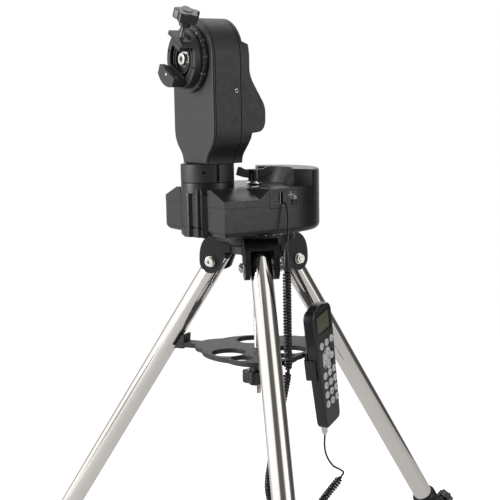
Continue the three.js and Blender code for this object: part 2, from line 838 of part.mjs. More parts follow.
function handsetFront() {
  const shell = spreadX(handsetShape(), 0.2, HANDSET.thick / 2, 4);
  const hollow = spreadX(handsetShape(3), -1, HANDSET.thick / 2 - 2, 4);
  const window = box(3, 20, -21, 21, 54, 84);
  return cut(shell, hollow, window, ...keyHoles(6, 3, 20));
}

function handsetBack() {
  const shell = spreadX(handsetShape(), -HANDSET.thick / 2, -0.2, 4);
  const hollow = spreadX(handsetShape(3), -HANDSET.thick / 2 + 2, 1, 4);
  return cut(shell, hollow);
}

function handsetWindow() {
  return box(HANDSET.thick / 2 - 1.9, HANDSET.thick / 2 - 0.8, -20.7, 20.7, 54.3, 83.7);
}

// One moulded rubber mat carries all the keys, and stands on the circuit board.
function handsetKeypad() {
  const mat = box(HANDSET.thick / 2 - 5.5, HANDSET.thick / 2 - 3.6, -19, 21, -64, 42);
  return join(mat, ...keyHoles(5.6, HANDSET.thick / 2 - 4, HANDSET.thick / 2 + 1.5));
}

// The cradle that holds the hand controller and hooks over the tray's rim.
function handsetHolder() {
  const back = -HANDSET.thick / 2 - GAP;
  const half = HANDSET.width / 2 - 2;
  const plate = box(back - 5, back, -half, half, -16, 28);
  const sides = box(back - 5, back + 13, -half - 2, half + 2, -14, 18);
  return cut(join(plate, sides), spreadX(handsetShape(-0.6), -HANDSET.thick / 2 - GAP, 30, 3));
}

// ---------- coiled cable ----------

function cord(points, radius) {
  const path = new THREE.CatmullRomCurve3(points.map((p) => new THREE.Vector3(...p)));
  const section = new THREE.Shape().absarc(0, 0, radius, 0, 2 * Math.PI, false);
  return new THREE.ExtrudeGeometry(section, {
    extrudePath: path,
    steps: points.length * 3,
    curveSegments: 3,
    bevelEnabled: false,
  });
}

const LEAD_RADIUS = 2.5;
const COIL_RADIUS = 6.4;
const CORD_TOP = [[-6.4, -88.6, 300], [-6, -96, 283], [-9, -100.5, 252], [-12.8, -101.5, 232]];
const CORD_MIDDLE = [[-12.8, -101.5, 196], [-12.8, -101.5, 130], [-12.8, -101.5, 60]];
const CORD_LOOP = [
  [-12.8, -101.5, 52],
  [-36, -94, -62],
  [-38, -86, -127],
  [-4, -78, -192],
  [40, -69, -196],
  [74, -64, -168],
  [94, -64, -151],
  [109, -64, -138.5],
];
const CORD_TAIL = [
  [106, -64, -141],
  [114, -64, -133],
  [106, -64, -125],
  [94, -64, -117],
  [83, -64, -101],
  [78, -64.6, -82],
  [77.2, -66.2, -58],
];
const HANDSET_PLUG = { radius: 4.8, length: 13, x: -3, y: -12 };

// The plug in the control panel, its lead, and the tapered end of the coil.
function cableUpper() {
  const panel = -BASE_HALF_WIDTH - 0.4 - GAP;
  const plug = box(-9.6, -3.2, panel - 4, panel, 296, 312.5);
  const [x, y, lowest] = CORD_TOP[CORD_TOP.length - 1];
  const relief = turned([[0, 203], [4.2, 203], [5.2, 214], [LEAD_RADIUS, lowest + 3], [0, lowest + 3]], 16);
  return join(plug, cord(CORD_TOP, LEAD_RADIUS), relief.translate(x, y, 0));
}

// The hanging loop of the coil, and the thin lead from its end up to the plug in the hand controller.
function cableLower() {
  const { radius, length, x, y } = HANDSET_PLUG;
  const bottom = -HANDSET.length / 2 - GAP;
  const plug = inHandsetFrame(rod(radius, bottom - length, bottom, 12).translate(x, y, 0));
  return join(cord(CORD_LOOP, COIL_RADIUS), cord(CORD_TAIL, LEAD_RADIUS), plug);
}

// ---------- assembly ----------

part(mount, "tripod_head", tripodHead(), "black_plastic");
part(mount, "azimuth_dial", azimuthDial(), "black_plastic");
part(mount, "azimuth_shaft", azimuthShaft(), "steel");
part(mount, "azimuth_worm_wheel", azimuthWormWheel(), "brass");
part(mount, "centre_rod", rod(ROD_RADIUS, 0, 214, 24), "steel");
for (const [name, degrees] of Object.entries(LEG_DIRECTIONS)) leg(name, degrees);

part(mount, "accessory_tray", accessoryTray(), "grey_plastic");
part(mount, "tray_knob", trayKnob(), "black_plastic");

part(mount, "base_lower_shell", lowerShell(), "black_plastic");
part(mount, "base_deck", deckShell(), "black_plastic");
part(mount, "end_block", endBlock(), "black_plastic");
part(mount, "battery_pack", batteryPack(), "grey_plastic");
part(mount, "battery_cover", batteryCover(), "black_plastic");
part(mount, "control_panel", controlPanel(), "black_plastic");
part(mount, "power_switch", powerSwitch(), "black_plastic");
part(mount, "bubble_level", bubbleLevel(), "level").position.set(-36, -58, 0);
part(mount, "azimuth_motor", azimuthMotor(), "steel");
part(mount, "azimuth_worm", azimuthWorm(), "steel");
part(mount, "azimuth_clutch_knob", wingKnob(), "black_plastic");

part(mount, "arm_front_cover", armFrontCover(), "black_paint");
part(mount, "arm_body", armBody(), "black_paint");
part(mount, "arm_rear_cover", armRearCover(), "black_plastic");
part(mount, "arm_collar", armCollar(), "black_paint");
part(mount, "altitude_motor", altitudeMotor(), "steel");
part(mount, "altitude_worm", altitudeWorm(), "steel");
part(mount, "altitude_worm_wheel", altitudeWormWheel(), "brass");

const saddleGroup = new THREE.Group();
saddleGroup.position.z = ALTITUDE_HEIGHT;
saddleGroup.rotation.x = radians(GROOVE_TILT);
mount.add(saddleGroup);
part(saddleGroup, "saddle", saddle(), "black_paint");
part(saddleGroup, "altitude_shaft", altitudeShaft(), "steel");
part(saddleGroup, "saddle_bolt", saddleBolt(), "steel");
part(saddleGroup, "clamp_pad", clampPad(), "steel");
part(saddleGroup, "clamp_knob", clampKnob(), "black_plastic");

const handset = new THREE.Group();
handset.position.set(HANDSET.x, HANDSET.y, HANDSET.z);
handset.rotation.set(0, 0, radians(HANDSET.facing));
const handsetLean = new THREE.Group();
handsetLean.rotation.x = radians(HANDSET.lean);
handset.add(handsetLean);
mount.add(handset);
part(handsetLean, "handset_front", handsetFront(), "black_plastic");
part(handsetLean, "handset_back", handsetBack(), "black_plastic");
part(handsetLean, "handset_window", handsetWindow(), "window");
part(handsetLean, "handset_keypad", handsetKeypad(), "keys");
part(handsetLean, "handset_holder", handsetHolder(), "black_plastic");

part(mount, "cable_upper", cableUpper(), "rubber");
part(mount, "cable_coil", cord(CORD_MIDDLE, COIL_RADIUS), "rubber");
part(mount, "cable_lower", cableLower(), "rubber");

export default mount;
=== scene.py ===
# Looks of an alt-azimuth telescope mount on its tripod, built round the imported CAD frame.
# Shapes are drawn in millimetres in the frame's axes, and become metres when they are finished.
import json
from math import acos, atan2, cos, hypot, pi, radians, sin, tau

import bmesh
import bpy
import numpy as np
from mathutils import Matrix, Vector


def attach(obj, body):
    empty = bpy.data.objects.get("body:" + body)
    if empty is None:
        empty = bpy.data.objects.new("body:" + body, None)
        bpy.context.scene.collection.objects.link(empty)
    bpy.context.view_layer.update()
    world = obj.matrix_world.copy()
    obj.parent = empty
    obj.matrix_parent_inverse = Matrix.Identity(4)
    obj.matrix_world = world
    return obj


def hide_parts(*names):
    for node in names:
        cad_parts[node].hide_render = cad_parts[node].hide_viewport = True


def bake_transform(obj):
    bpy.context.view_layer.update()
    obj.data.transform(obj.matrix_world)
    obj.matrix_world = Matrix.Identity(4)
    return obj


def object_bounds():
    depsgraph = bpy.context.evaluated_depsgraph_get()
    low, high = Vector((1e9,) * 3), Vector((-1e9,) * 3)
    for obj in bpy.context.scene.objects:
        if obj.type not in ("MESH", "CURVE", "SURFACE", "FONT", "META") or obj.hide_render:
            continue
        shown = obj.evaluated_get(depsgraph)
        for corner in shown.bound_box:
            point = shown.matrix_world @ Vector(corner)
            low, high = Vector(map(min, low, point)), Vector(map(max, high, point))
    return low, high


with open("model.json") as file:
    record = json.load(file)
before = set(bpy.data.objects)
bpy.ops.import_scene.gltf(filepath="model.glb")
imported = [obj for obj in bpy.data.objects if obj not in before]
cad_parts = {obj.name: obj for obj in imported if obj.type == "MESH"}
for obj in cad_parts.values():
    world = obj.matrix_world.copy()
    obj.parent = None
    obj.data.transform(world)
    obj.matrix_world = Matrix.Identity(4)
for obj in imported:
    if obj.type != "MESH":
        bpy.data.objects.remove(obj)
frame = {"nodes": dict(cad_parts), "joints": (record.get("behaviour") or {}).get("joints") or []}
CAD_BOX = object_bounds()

MM = 0.001
EDGE_ANGLE = radians(32)

# ---------- places and sizes from the frame ----------


def span(node, axes=Matrix.Identity(3)):
    """Lowest and highest reach of a CAD node along three axes, in millimetres."""
    points = np.array([v.co for v in frame["nodes"][node].data.vertices]) / MM
    along = points @ np.array(axes)
    return Vector(along.min(0)), Vector(along.max(0))


def joint(name):
    return next(j for j in frame["joints"] if j["name"] == name)


def joint_point(name):
    return Vector(joint(name)["pos_m"]) / MM


def joint_axis(name):
    return Vector(joint(name)["axis"])


LEGS = ("near", "left", "right")
HUB_TOP = span("tripod_head")[1].z
PIVOT_HEIGHT = joint_point("leg_fold_near").z
PIVOT_RADIUS = hypot(*joint_point("leg_fold_near").xy)
LEG_SPLAY = acos(-joint_axis("leg_extend_near").z)
LEG_TURN = {leg: atan2(*joint_point("leg_fold_" + leg).yx) for leg in LEGS}
GROUND = CAD_BOX[0].z / MM
ROD_RADIUS = span("centre_rod")[1].x
DIAL_RADIUS, DIAL_TOP = span("azimuth_dial")[1].xz
DIAL_BOTTOM = span("azimuth_dial")[0].z

TRAY_TOP, TRAY_BOTTOM = 71, 64
TRAY_KNOB = span("tray_knob")

BASE = span("base_lower_shell")
BASE_END = BASE[0].x
BASE_HALF_WIDTH = BASE[1].y
BASE_FLOOR = BASE[0].z
BASE_SEAM = BASE[1].z
DRUM_CENTRE = BASE[1].x - BASE_HALF_WIDTH
RIM = span("base_deck")[1].z
DECK = 318
SHELL = 3
GAP = 0.3

SWIVEL = joint_point("arm_swivel")
COLLAR = span("arm_collar")
COLLAR_RADIUS = (COLLAR[1].y - COLLAR[0].y) / 2
LOWER_COLLAR_TOP = span("end_block")[1].z
POST_RADIUS = 14
POST_HOLE = POST_RADIUS + GAP

ARM = span("arm_body")
ARM_SEAM_REAR = ARM[1].x + GAP
ARM_HALF_WIDTH = ARM[1].y
ARM_BOTTOM = ARM[0].z
ALTITUDE = joint_point("altitude")

# ---------- solids, in millimetres ----------

ALONG_X = Matrix.Rotation(pi / 2, 4, "Y")
ALONG_Y = Matrix.Rotation(-pi / 2, 4, "X")
YZ_TO_X = Matrix(((0, 0, 1, 0), (1, 0, 0, 0), (0, 1, 0, 0), (0, 0, 0, 1)))
XZ_TO_Y = Matrix(((1, 0, 0, 0), (0, 0, 1, 0), (0, 1, 0, 0), (0, 0, 0, 1)))


def moved_by(x=0, y=0, z=0):
    return Matrix.Translation((x, y, z))


def turned_by(angle, axis="Z"):
    return Matrix.Rotation(angle, 4, axis)


def added(name, data):
    """A new object in the scene."""
    obj = bpy.data.objects.new(name, data)
    bpy.context.scene.collection.objects.link(obj)
    return obj


def edit(obj, change):
    """Runs change(bm) on the object's mesh, and turns every face outwards."""
    bm = bmesh.new()
    bm.from_mesh(obj.data)
    change(bm)
    bmesh.ops.recalc_face_normals(bm, faces=bm.faces)
    bm.to_mesh(obj.data)
    bm.free()
    return obj


def solid(points, faces):
    mesh = bpy.data.meshes.new("shape")
    mesh.from_pydata([tuple(p) for p in points], [], faces)
    return edit(added("shape", mesh), lambda bm: bmesh.ops.remove_doubles(bm, verts=bm.verts, dist=1e-5))


def placed(obj, *matrices):
    """Moves the mesh by the matrices, the last one first."""
    total = Matrix.Identity(4)
    for matrix in matrices:
        total = total @ matrix
    obj.data.transform(total)
    if total.determinant() < 0:
        obj.data.flip_normals()
    return obj


def lofted(levels):
    """A solid through closed outlines of the same number of points, each given with its height."""
    count = len(levels[0][0])
    points = [(x, y, z) for outline, z in levels for x, y in outline]
    faces = [list(range(count))[::-1], [len(points) - count + i for i in range(count)]]
    for level in range(len(levels) - 1):
        for i in range(count):
            j = (i + 1) % count
            low, high = level * count, (level + 1) * count
            faces.append([low + i, low + j, high + j, high + i])
    return solid(points, faces)


def prism(outline, z0, z1):
    return lofted([(outline, z0), (outline, z1)])


def prism_x(outline, x0, x1):
    """An outline in Y and Z, spread along X."""
    return placed(prism(outline, x0, x1), YZ_TO_X)


def prism_y(outline, y0, y1):
    """An outline in X and Z, spread along Y."""
    return placed(prism(outline, y0, y1), XZ_TO_Y)


def block(x0, x1, y0, y1, z0, z1):
    return prism([(x0, y0), (x1, y0), (x1, y1), (x0, y1)], z0, z1)


def lathe(profile, sides=96):
    """A solid turned about Z from (radius, z) pairs. Off the axis, the profile closes on itself."""
    points, rings = [], []
    for radius, z in profile:
        start = len(points)
        if radius == 0:
            points.append((0, 0, z))
            rings.append([start] * sides)
            continue
        for i in range(sides):
            points.append((radius * cos(tau * i / sides), radius * sin(tau * i / sides), z))
        rings.append([start + i for i in range(sides)])
    pairs = list(zip(rings, rings[1:]))
    if profile[0][0] != 0:
        pairs.append((rings[-1], rings[0]))
    faces = []
    for low, high in pairs:
        for i in range(sides):
            j = (i + 1) % sides
            corners = list(dict.fromkeys([low[i], low[j], high[j], high[i]]))
            if len(corners) > 2:
                faces.append(corners)
    return solid(points, faces)


def rod(radius, z0, z1, sides=48, top=None, ease=0):
    """A cylinder along Z, or a cone when the top radius is given, with eased rims."""
    top = radius if top is None else top
    if not ease:
        return lathe([(0, z0), (radius, z0), (top, z1), (0, z1)], sides)
    steps = 3
    low = [(radius - ease * (1 - sin(a)), z0 + ease * (1 - cos(a))) for a in quarter(steps)]
    high = [(top - ease * (1 - cos(a)), z1 - ease * (1 - sin(a))) for a in quarter(steps)]
    return lathe([(0, z0), *low, *high, (0, z1)], sides)


def quarter(steps):
    return [pi / 2 * i / steps for i in range(steps + 1)]


def rod_x(radius, x0, x1, sides=48, top=None, ease=0):
    return placed(rod(radius, x0, x1, sides, top, ease), ALONG_X)


def rod_y(radius, y0, y1, sides=48, ease=0):
    return placed(rod(radius, y0, y1, sides, None, ease), ALONG_Y)


def baked(obj):
    """Applies the object's modifiers."""
    bpy.context.view_layer.update()
    graph = bpy.context.evaluated_depsgraph_get()
    mesh = bpy.data.meshes.new_from_object(obj.evaluated_get(graph))
    obj.modifiers.clear()
    old, obj.data = obj.data, mesh
    bpy.data.meshes.remove(old)
    return obj


def boolean(base, tools, operation):
    for tool in tools:
        step = base.modifiers.new("boolean", "BOOLEAN")
        step.operation = operation
        step.solver = "EXACT"
        step.object = tool
        baked(base)
        bpy.data.objects.remove(tool)
    return edit(base, clean)


def clean(bm):
    bmesh.ops.remove_doubles(bm, verts=bm.verts, dist=0.004)
    bmesh.ops.dissolve_degenerate(bm, edges=bm.edges, dist=0.004)
    bmesh.ops.dissolve_limit(bm, angle_limit=0.003, verts=bm.verts, edges=bm.edges)


def join(base, *tools):
    return boolean(base, tools, "UNION")


def cut(base, *tools):
    return boolean(base, tools, "DIFFERENCE")


def common(base, *tools):
    return boolean(base, tools, "INTERSECT")


def grouped(*parts):
    """Separate closed shapes kept side by side in one mesh."""
    bm = bmesh.new()
    for part in parts:
        bm.from_mesh(part.data)
        bpy.data.objects.remove(part)
    mesh = bpy.data.meshes.new("shape")
    bm.to_mesh(mesh)
    bm.free()
    return added("shape", mesh)


def eased(obj, width, segments=3, angle=EDGE_ANGLE):
    """Rounds every edge that is sharper than the angle."""
    step = obj.modifiers.new("edge", "BEVEL")
    step.width = width
    step.segments = segments
    step.limit_method = "ANGLE"
    step.angle_limit = angle
    step.use_clamp_overlap = True
    return baked(obj)


# ---------- outlines ----------


def arc(x, y, radius, start, end, steps):
    """Points on an arc, with its angles in degrees."""
    turn = [radians(start + (end - start) * i / steps) for i in range(steps + 1)]
    return [(x + radius * cos(a), y + radius * sin(a)) for a in turn]


def bezier(controls, steps):
    """Points on a Bezier curve of any order, without its first point."""
    points = []
    for i in range(1, steps + 1):
        level = [Vector(c) for c in controls]
        while len(level) > 1:
            level = [a.lerp(b, i / steps) for a, b in zip(level, level[1:])]
        points.append(tuple(level[0]))
    return points


def lobed(lobes, radius, depth, steps=16):
    """A round grip with scalloped hollows between its lobes."""
    outline = []
    for i in range(lobes * steps):
        angle = tau * i / (lobes * steps)
        r = radius - depth * 0.5 * (1 - cos(lobes * angle))
        outline.append((r * cos(angle), r * sin(angle)))
    return outline


def mirrored(outline):
    return [(-x, y) for x, y in reversed(outline)]


def regular(sides, radius):
    return [(radius * cos(tau * i / sides), radius * sin(tau * i / sides)) for i in range(sides)]


# ---------- cords ----------


def smooth_path(points, steps):
    """A Catmull-Rom curve through the points."""
    p = [Vector(q) for q in points]
    p = [2 * p[0] - p[1], *p, 2 * p[-1] - p[-2]]
    path = []
    for a, b, c, d in zip(p, p[1:], p[2:], p[3:]):
        for i in range(steps):
            t = i / steps
            path.append(
                0.5 * ((2 * b) + (c - a) * t + (2 * a - 5 * b + 4 * c - d) * t**2
                       + (3 * b - a - 3 * c + d) * t**3)
            )
    return [*path, p[-2]]


def even(path, step):
    """The same path with its points at an even spacing."""
    lengths = [0.0]
    for a, b in zip(path, path[1:]):
        lengths.append(lengths[-1] + (b - a).length)
    count = max(2, round(lengths[-1] / step))
    made, k = [], 0
    for i in range(count + 1):
        at = lengths[-1] * i / count
        while k < len(path) - 2 and lengths[k + 1] < at:
            k += 1
        share = (at - lengths[k]) / max(1e-9, lengths[k + 1] - lengths[k])
        made.append(path[k].lerp(path[k + 1], share))
    return made


def frames(path):
    """The two cross directions at each point of a path, carried along it without twist."""
    side = Vector((0.3, 1, 0.2)).normalized()
    made = []
    for i in range(len(path)):
        ahead = (path[min(i + 1, len(path) - 1)] - path[max(i - 1, 0)]).normalized()
        side = (side - ahead * side.dot(ahead)).normalized()
        made.append((side, ahead.cross(side)))
    return made


def coiled(spine, radius, pitch, steps=18):
    """The path of a cord wound round the spine, easing on to it at both ends."""
    spine = even(spine, pitch / steps)
    cross = frames(spine)
    run_in = 1.5 * steps
    path = []
    for i, (point, (side, up)) in enumerate(zip(spine, cross)):
        angle = tau * i / steps
        grown = radius * min(1, i / run_in, (len(spine) - 1 - i) / run_in)
        path.append(point + grown * (side * cos(angle) + up * sin(angle)))
    return path


def swept(path, radius, sides=10):
    """A round cord along a path. The radius may be a function of the share of the way along."""
    points, faces = [], []
    for i, (point, (side, up)) in enumerate(zip(path, frames(path))):
        r = radius(i / (len(path) - 1)) if callable(radius) else radius
        for k in range(sides):
            points.append(point + r * (side * cos(tau * k / sides) + up * sin(tau * k / sides)))
    for i in range(len(path) - 1):
        for k in range(sides):
            j = (k + 1) % sides
            low, high = i * sides, (i + 1) * sides
            faces.append([low + k, low + j, high + j, high + k])
    faces.append(list(range(sides))[::-1])
    faces.append([len(points) - sides + k for k in range(sides)])
    return solid(points, faces)


# ---------- materials ----------


def feed(tree, made, **inputs):
    """Sets a node's inputs, by name or by number as i0, i1..., each to a value or from a socket."""
    for key, value in inputs.items():
        slot = made.inputs[int(key[1:]) if key[1:].isdigit() else key.replace("_", " ")]
        if isinstance(value, bpy.types.NodeSocket):
            tree.links.new(value, slot)
        else:
            slot.default_value = value


def node(tree, kind, settings=None, **inputs):
    """Adds a shader node with its settings and inputs."""
    made = tree.nodes.new(kind)
    for key, value in (settings or {}).items():
        setattr(made, key, value)
    feed(tree, made, **inputs)
    return made


def maths(tree, operation, *values):
    inputs = {f"i{i}": value for i, value in enumerate(values)}
    return node(tree, "ShaderNodeMath", {"operation": operation}, **inputs).outputs[0]


def blank(name):
    material = bpy.data.materials.new(name)
    material.use_nodes = True
    tree = material.node_tree
    shader = tree.nodes["Principled BSDF"]
    place = tree.nodes.new("ShaderNodeTexCoord").outputs["Object"]
    return material, tree, shader, place


def noise(tree, place, size, detail=3.0, stretch=None):
    """Noise whose features are about size millimetres across."""
    if stretch:
        place = node(tree, "ShaderNodeMapping", Vector=place, Scale=stretch).outputs["Vector"]
    made = node(tree, "ShaderNodeTexNoise", Vector=place, Scale=1 / (size * MM), Detail=detail)
    return made.outputs["Fac"]


def spread(tree, factor, low, high):
    """Maps the middle of a noise on to low to high."""
    made = node(tree, "ShaderNodeMapRange", Value=factor, i1=0.3, i2=0.7, i3=low, i4=high)
    return made.outputs["Result"]


def mixed(tree, factor, first, second):
    """Two colours, each a triple or a socket, mixed by a factor."""
    colours = [v if isinstance(v, bpy.types.NodeSocket) else (*v, 1) for v in (first, second)]
    made = node(tree, "ShaderNodeMix", {"data_type": "RGBA"}, i0=factor, i6=colours[0], i7=colours[1])
    return made.outputs[2]


def relief(tree, height, depth, strength=1.0):
    made = node(tree, "ShaderNodeBump", Height=height, Distance=depth * MM, Strength=strength)
    return made.outputs["Normal"]


def worn_edges(tree, radius):
    """1 on an edge, lightened partly as rubbed wear and partly as a painted edge highlight; 0 on a flat face.
    """
    bevelled = node(tree, "ShaderNodeBevel", {"samples": 4}, Radius=radius * MM).outputs["Normal"]
    plain = tree.nodes.new("ShaderNodeNewGeometry").outputs["Normal"]
    dot = node(tree, "ShaderNodeVectorMath", {"operation": "DOT_PRODUCT"}, i0=bevelled, i1=plain)
    made = node(tree, "ShaderNodeMapRange", Value=dot.outputs["Value"], i1=0.995, i2=0.9, i3=0.0, i4=1.0)
    return made.outputs["Result"]


def moulded(name, colour, roughness, grain=0.45, depth=0.02, wear_and_highlight=0.0, sheen=0.5):
    """Plastic, rubber or paint: grained, a little uneven in tone, and lighter on its edges, partly rubbed
    wear and partly a painted edge highlight.
    """
    material, tree, shader, place = blank(name)
    fine = noise(tree, place, grain)
    broad = noise(tree, place, 22, 2.0)
    shade = mixed(tree, broad, [c * 0.82 for c in colour], [c * 1.18 for c in colour])
    if wear_and_highlight:
        # Lighter edges: partly rubbed wear, partly a painted highlight standing in for light caught on the
        # edges.
        rubbed_and_highlit = maths(tree, "MULTIPLY", worn_edges(tree, 0.7), wear_and_highlight)
        shade = mixed(tree, rubbed_and_highlit, shade, [c * 2.6 for c in colour])
    rough = spread(tree, noise(tree, place, 6, 4.0), roughness - 0.05, roughness + 0.06)
    normal = relief(tree, fine, depth)
    feed(tree, shader, Base_Color=shade, Roughness=rough, Normal=normal, Specular_IOR_Level=sheen)
    return material


def polished(name, colour, roughness, stretch, streak=1.2):
    """Bare metal with drawing or turning lines along one direction."""
    material, tree, shader, place = blank(name)
    lines = noise(tree, place, streak, 4.0, stretch)
    smudge = noise(tree, place, 35, 3.0)
    tone = mixed(tree, smudge, [c * 0.93 for c in colour], colour)
    rough = spread(tree, lines, roughness * 0.7, roughness * 1.4)
    feed(tree, shader, Base_Color=tone, Roughness=rough, Normal=relief(tree, lines, 0.004), Metallic=1)
    return material


def tray_plastic(name):
    """Black moulding whose upward faces get a lighter grey: a painted highlight standing in for the light
    that falls on the top.
    """
    material, tree, shader, place = blank(name)
    facing = tree.nodes.new("ShaderNodeNewGeometry").outputs["Normal"]
    up = node(tree, "ShaderNodeSeparateXYZ", Vector=facing).outputs["Z"]
    # Painted light: faces turned upwards are coloured grey instead of black, as if lit from above.
    top = node(tree, "ShaderNodeMapRange", Value=up, i1=0.85, i2=0.98, i3=0.0, i4=1.0).outputs["Result"]
    broad = noise(tree, place, 30, 2.0)
    grey = mixed(tree, broad, (0.060, 0.060, 0.061), (0.078, 0.078, 0.079))
    tone = mixed(tree, top, (0.012, 0.012, 0.013), grey)
    rough = spread(tree, noise(tree, place, 8), 0.5, 0.62)
    feed(tree, shader, Base_Color=tone, Roughness=rough, Normal=relief(tree, noise(tree, place, 0.7), 0.04))
    return material


def display(name):
    """A liquid crystal display behind its clear window: olive, with the faint grid of its dots."""
    material, tree, shader, place = blank(name)
    grid = node(tree, "ShaderNodeTexChecker", Vector=place, Scale=1400.0).outputs["Fac"]
    broad = noise(tree, place, 18, 1.0)
    olive = mixed(tree, broad, (0.085, 0.095, 0.05), (0.12, 0.13, 0.07))
    faint = maths(tree, "MULTIPLY", grid, 0.18)
    tone = mixed(tree, faint, olive, (0.04, 0.045, 0.025))
    rough = spread(tree, broad, 0.24, 0.3)
    feed(tree, shader, Base_Color=tone, Roughness=rough, Coat_Weight=1.0, Coat_Roughness=0.04)
    return material


def liquid(name, colour):
    """Tinted clear liquid or plastic, a little uneven."""
    material, tree, shader, place = blank(name)
    pale = [min(1, c * 1.4) for c in colour]
    tone = mixed(tree, noise(tree, place, 3), colour, pale)
    feed(tree, shader, Base_Color=tone, Transmission_Weight=0.55, Roughness=0.06, Coat_Weight=1.0)
    return material


# The sixth value lightens the edges, partly as wear and partly as a painted edge highlight.
SHELL_BLACK = moulded("shell_black", (0.013, 0.013, 0.0145), 0.31, 0.5, 0.02, 0.8, 0.34)
PAINT_BLACK = moulded("paint_black", (0.021, 0.021, 0.0235), 0.46, 0.35, 0.012, 0.6, 0.34)
TRIPOD_BLACK = moulded("tripod_black", (0.010, 0.010, 0.011), 0.38, 0.6, 0.025, 0.4, 0.3)
KNOB_BLACK = moulded("knob_black", (0.012, 0.012, 0.013), 0.30, 0.8, 0.02, 0.8, 0.5)
RUBBER = moulded("rubber_black", (0.018, 0.018, 0.018), 0.72, 0.5, 0.03)
CORD_BLACK = moulded("cord_black", (0.010, 0.010, 0.011), 0.33, 0.7, 0.015, 0.0, 0.4)
KEY_GREY = moulded("key_grey", (0.74, 0.75, 0.74), 0.5, 0.3, 0.01)
INK_WHITE = moulded("ink_white", (0.72, 0.72, 0.7), 0.5, 0.3, 0.01)
INK_GREY = moulded("ink_grey", (0.34, 0.34, 0.33), 0.5, 0.3, 0.01)
INK_DARK = moulded("ink_dark", (0.03, 0.03, 0.035), 0.5, 0.3, 0.01)
DARK_HOLE = moulded("socket_dark", (0.006, 0.006, 0.007), 0.6, 0.5, 0.02)
BEZEL = moulded("bezel_gloss", (0.01, 0.01, 0.011), 0.16, 0.3, 0.004)
CELL_SLEEVE = moulded("cell_sleeve", (0.09, 0.095, 0.1), 0.4, 0.6, 0.01)
TUBE_STEEL = polished("tube_steel", (0.80, 0.78, 0.75), 0.085, (1, 1, 0.004))
BRIGHT_STEEL = polished("bright_steel", (0.72, 0.71, 0.68), 0.22, (1, 1, 1), 0.5)
DARK_STEEL = polished("dark_steel", (0.30, 0.30, 0.30), 0.26, (1, 1, 1), 0.5)
BRASS = polished("brass_cut", (0.72, 0.52, 0.24), 0.28, (1, 1, 0.05), 0.6)
TRAY_PAINTED_LIT_TOP = tray_plastic("tray_moulded")
OLIVE_DISPLAY = display("olive_display")
VIAL_GREEN = liquid("vial_green", (0.42, 0.55, 0.08))

# ---------- finishing a piece ----------


def dressed(obj, name, material, matrix=None):
    """Names the shape, gives it its finish and turns it into metres at its place."""
    obj.name = name
    obj.data.name = name
    obj.data.transform(Matrix.Scale(MM, 4))
    obj.data.materials.clear()
    obj.data.materials.append(material)
    obj.data.shade_smooth()
    obj.data.set_sharp_from_angle(angle=EDGE_ANGLE)
    if matrix is not None:
        place = matrix.copy()
        place.translation *= MM
        obj.matrix_world = place
    return obj


def finish(obj, name, body, material, matrix=None, stands_for=None):
    """A finished piece that rides on a body, in place of the CAD node it stands for."""
    dressed(obj, name, material, matrix)
    weighted = obj.modifiers.new("normals", "WEIGHTED_NORMAL")
    weighted.keep_sharp = True
    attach(obj, body)
    if stands_for:
        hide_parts(stands_for)


def socket_screw(radius, head, length, recess):
    """A socket head screw along +Z, its head's face at z = 0 and its shank below."""
    top = rod(radius, -head, 0, 40, ease=0.4)
    shank = rod(radius * 0.55, -length, -head + 0.5, 24)
    key = prism(regular(6, recess), -head * 0.6, 1)
    return cut(join(top, shank), key)


def hex_nut(across, z0, z1):
    """A nut along Z with chamfered corners."""
    corner = across / 2 / cos(pi / 6)
    nut = prism(regular(6, corner), z0, z1)
    dome = rod(corner * 0.99, z0, z1, 48, ease=(z1 - z0) * 0.22)
    return common(nut, dome)


# ---------- tripod head ----------

EAR_INNER = 17
EAR_OUTER = 25
EAR_RADIUS = 18
HUB_RADIUS = 60
SKIRT_BOTTOM = 217
BOLT_RADIUS = 4
BOLT_HOLE = BOLT_RADIUS + GAP
ROD_HOLE = ROD_RADIUS + GAP
DIAL_BORE = 24
DIAL_MARKS = 72


def brow(inset=0.0):
    """The rounded shoulder of an ear, from the hub's top down to the pivot's height."""
    top, reach = HUB_TOP - 4 - inset, PIVOT_RADIUS + EAR_RADIUS - inset
    return [(60, top), *bezier([(60, top), (reach, top - 6), (reach, PIVOT_HEIGHT + 4)], 10)]


def ear_outline():
    root = SKIRT_BOTTOM + 0.3
    lobe = arc(PIVOT_RADIUS, PIVOT_HEIGHT, EAR_RADIUS, 0, -135, 24)
    return [(30, HUB_TOP - 4), *brow(), *lobe, (42, PIVOT_HEIGHT + 8), (42, root), (30, root)]


def web_outline():
    """The roof between the two ears of a leg, hollowed to clear the leg's cap as it folds."""
    lowest = PIVOT_HEIGHT + 25.2
    roof = [(x, z) for x, z in brow(0.4) if z > lowest]
    hollow = arc(PIVOT_RADIUS, PIVOT_HEIGHT, 27, 111, 148, 12)
    return [(30, HUB_TOP - 4.4), *roof, (roof[-1][0], lowest), *hollow, (30, SKIRT_BOTTOM + 0.6)]


def tripod_head():
    skirt = [(16, 206), (16, SKIRT_BOTTOM), (38, SKIRT_BOTTOM), (38, 228), (HUB_RADIUS, 238)]
    head = lathe([(ROD_HOLE, 206), *skirt, (HUB_RADIUS, HUB_TOP), (ROD_HOLE, HUB_TOP)], 120)
    for leg in LEGS:
        lug = join(
            prism_y(web_outline(), -EAR_INNER - 1, EAR_INNER + 1),
            prism_y(ear_outline(), EAR_INNER, EAR_OUTER),
            prism_y(ear_outline(), -EAR_OUTER, -EAR_INNER),
        )
        hole = rod_y(BOLT_HOLE, -40, 40, 32)
        lug = cut(lug, placed(hole, moved_by(PIVOT_RADIUS, 0, PIVOT_HEIGHT)))
        head = join(head, placed(lug, turned_by(LEG_TURN[leg])))
    finish(eased(head, 1.1), "tripod_head_casting", "tripod_hub", TRIPOD_BLACK, stands_for="tripod_head")


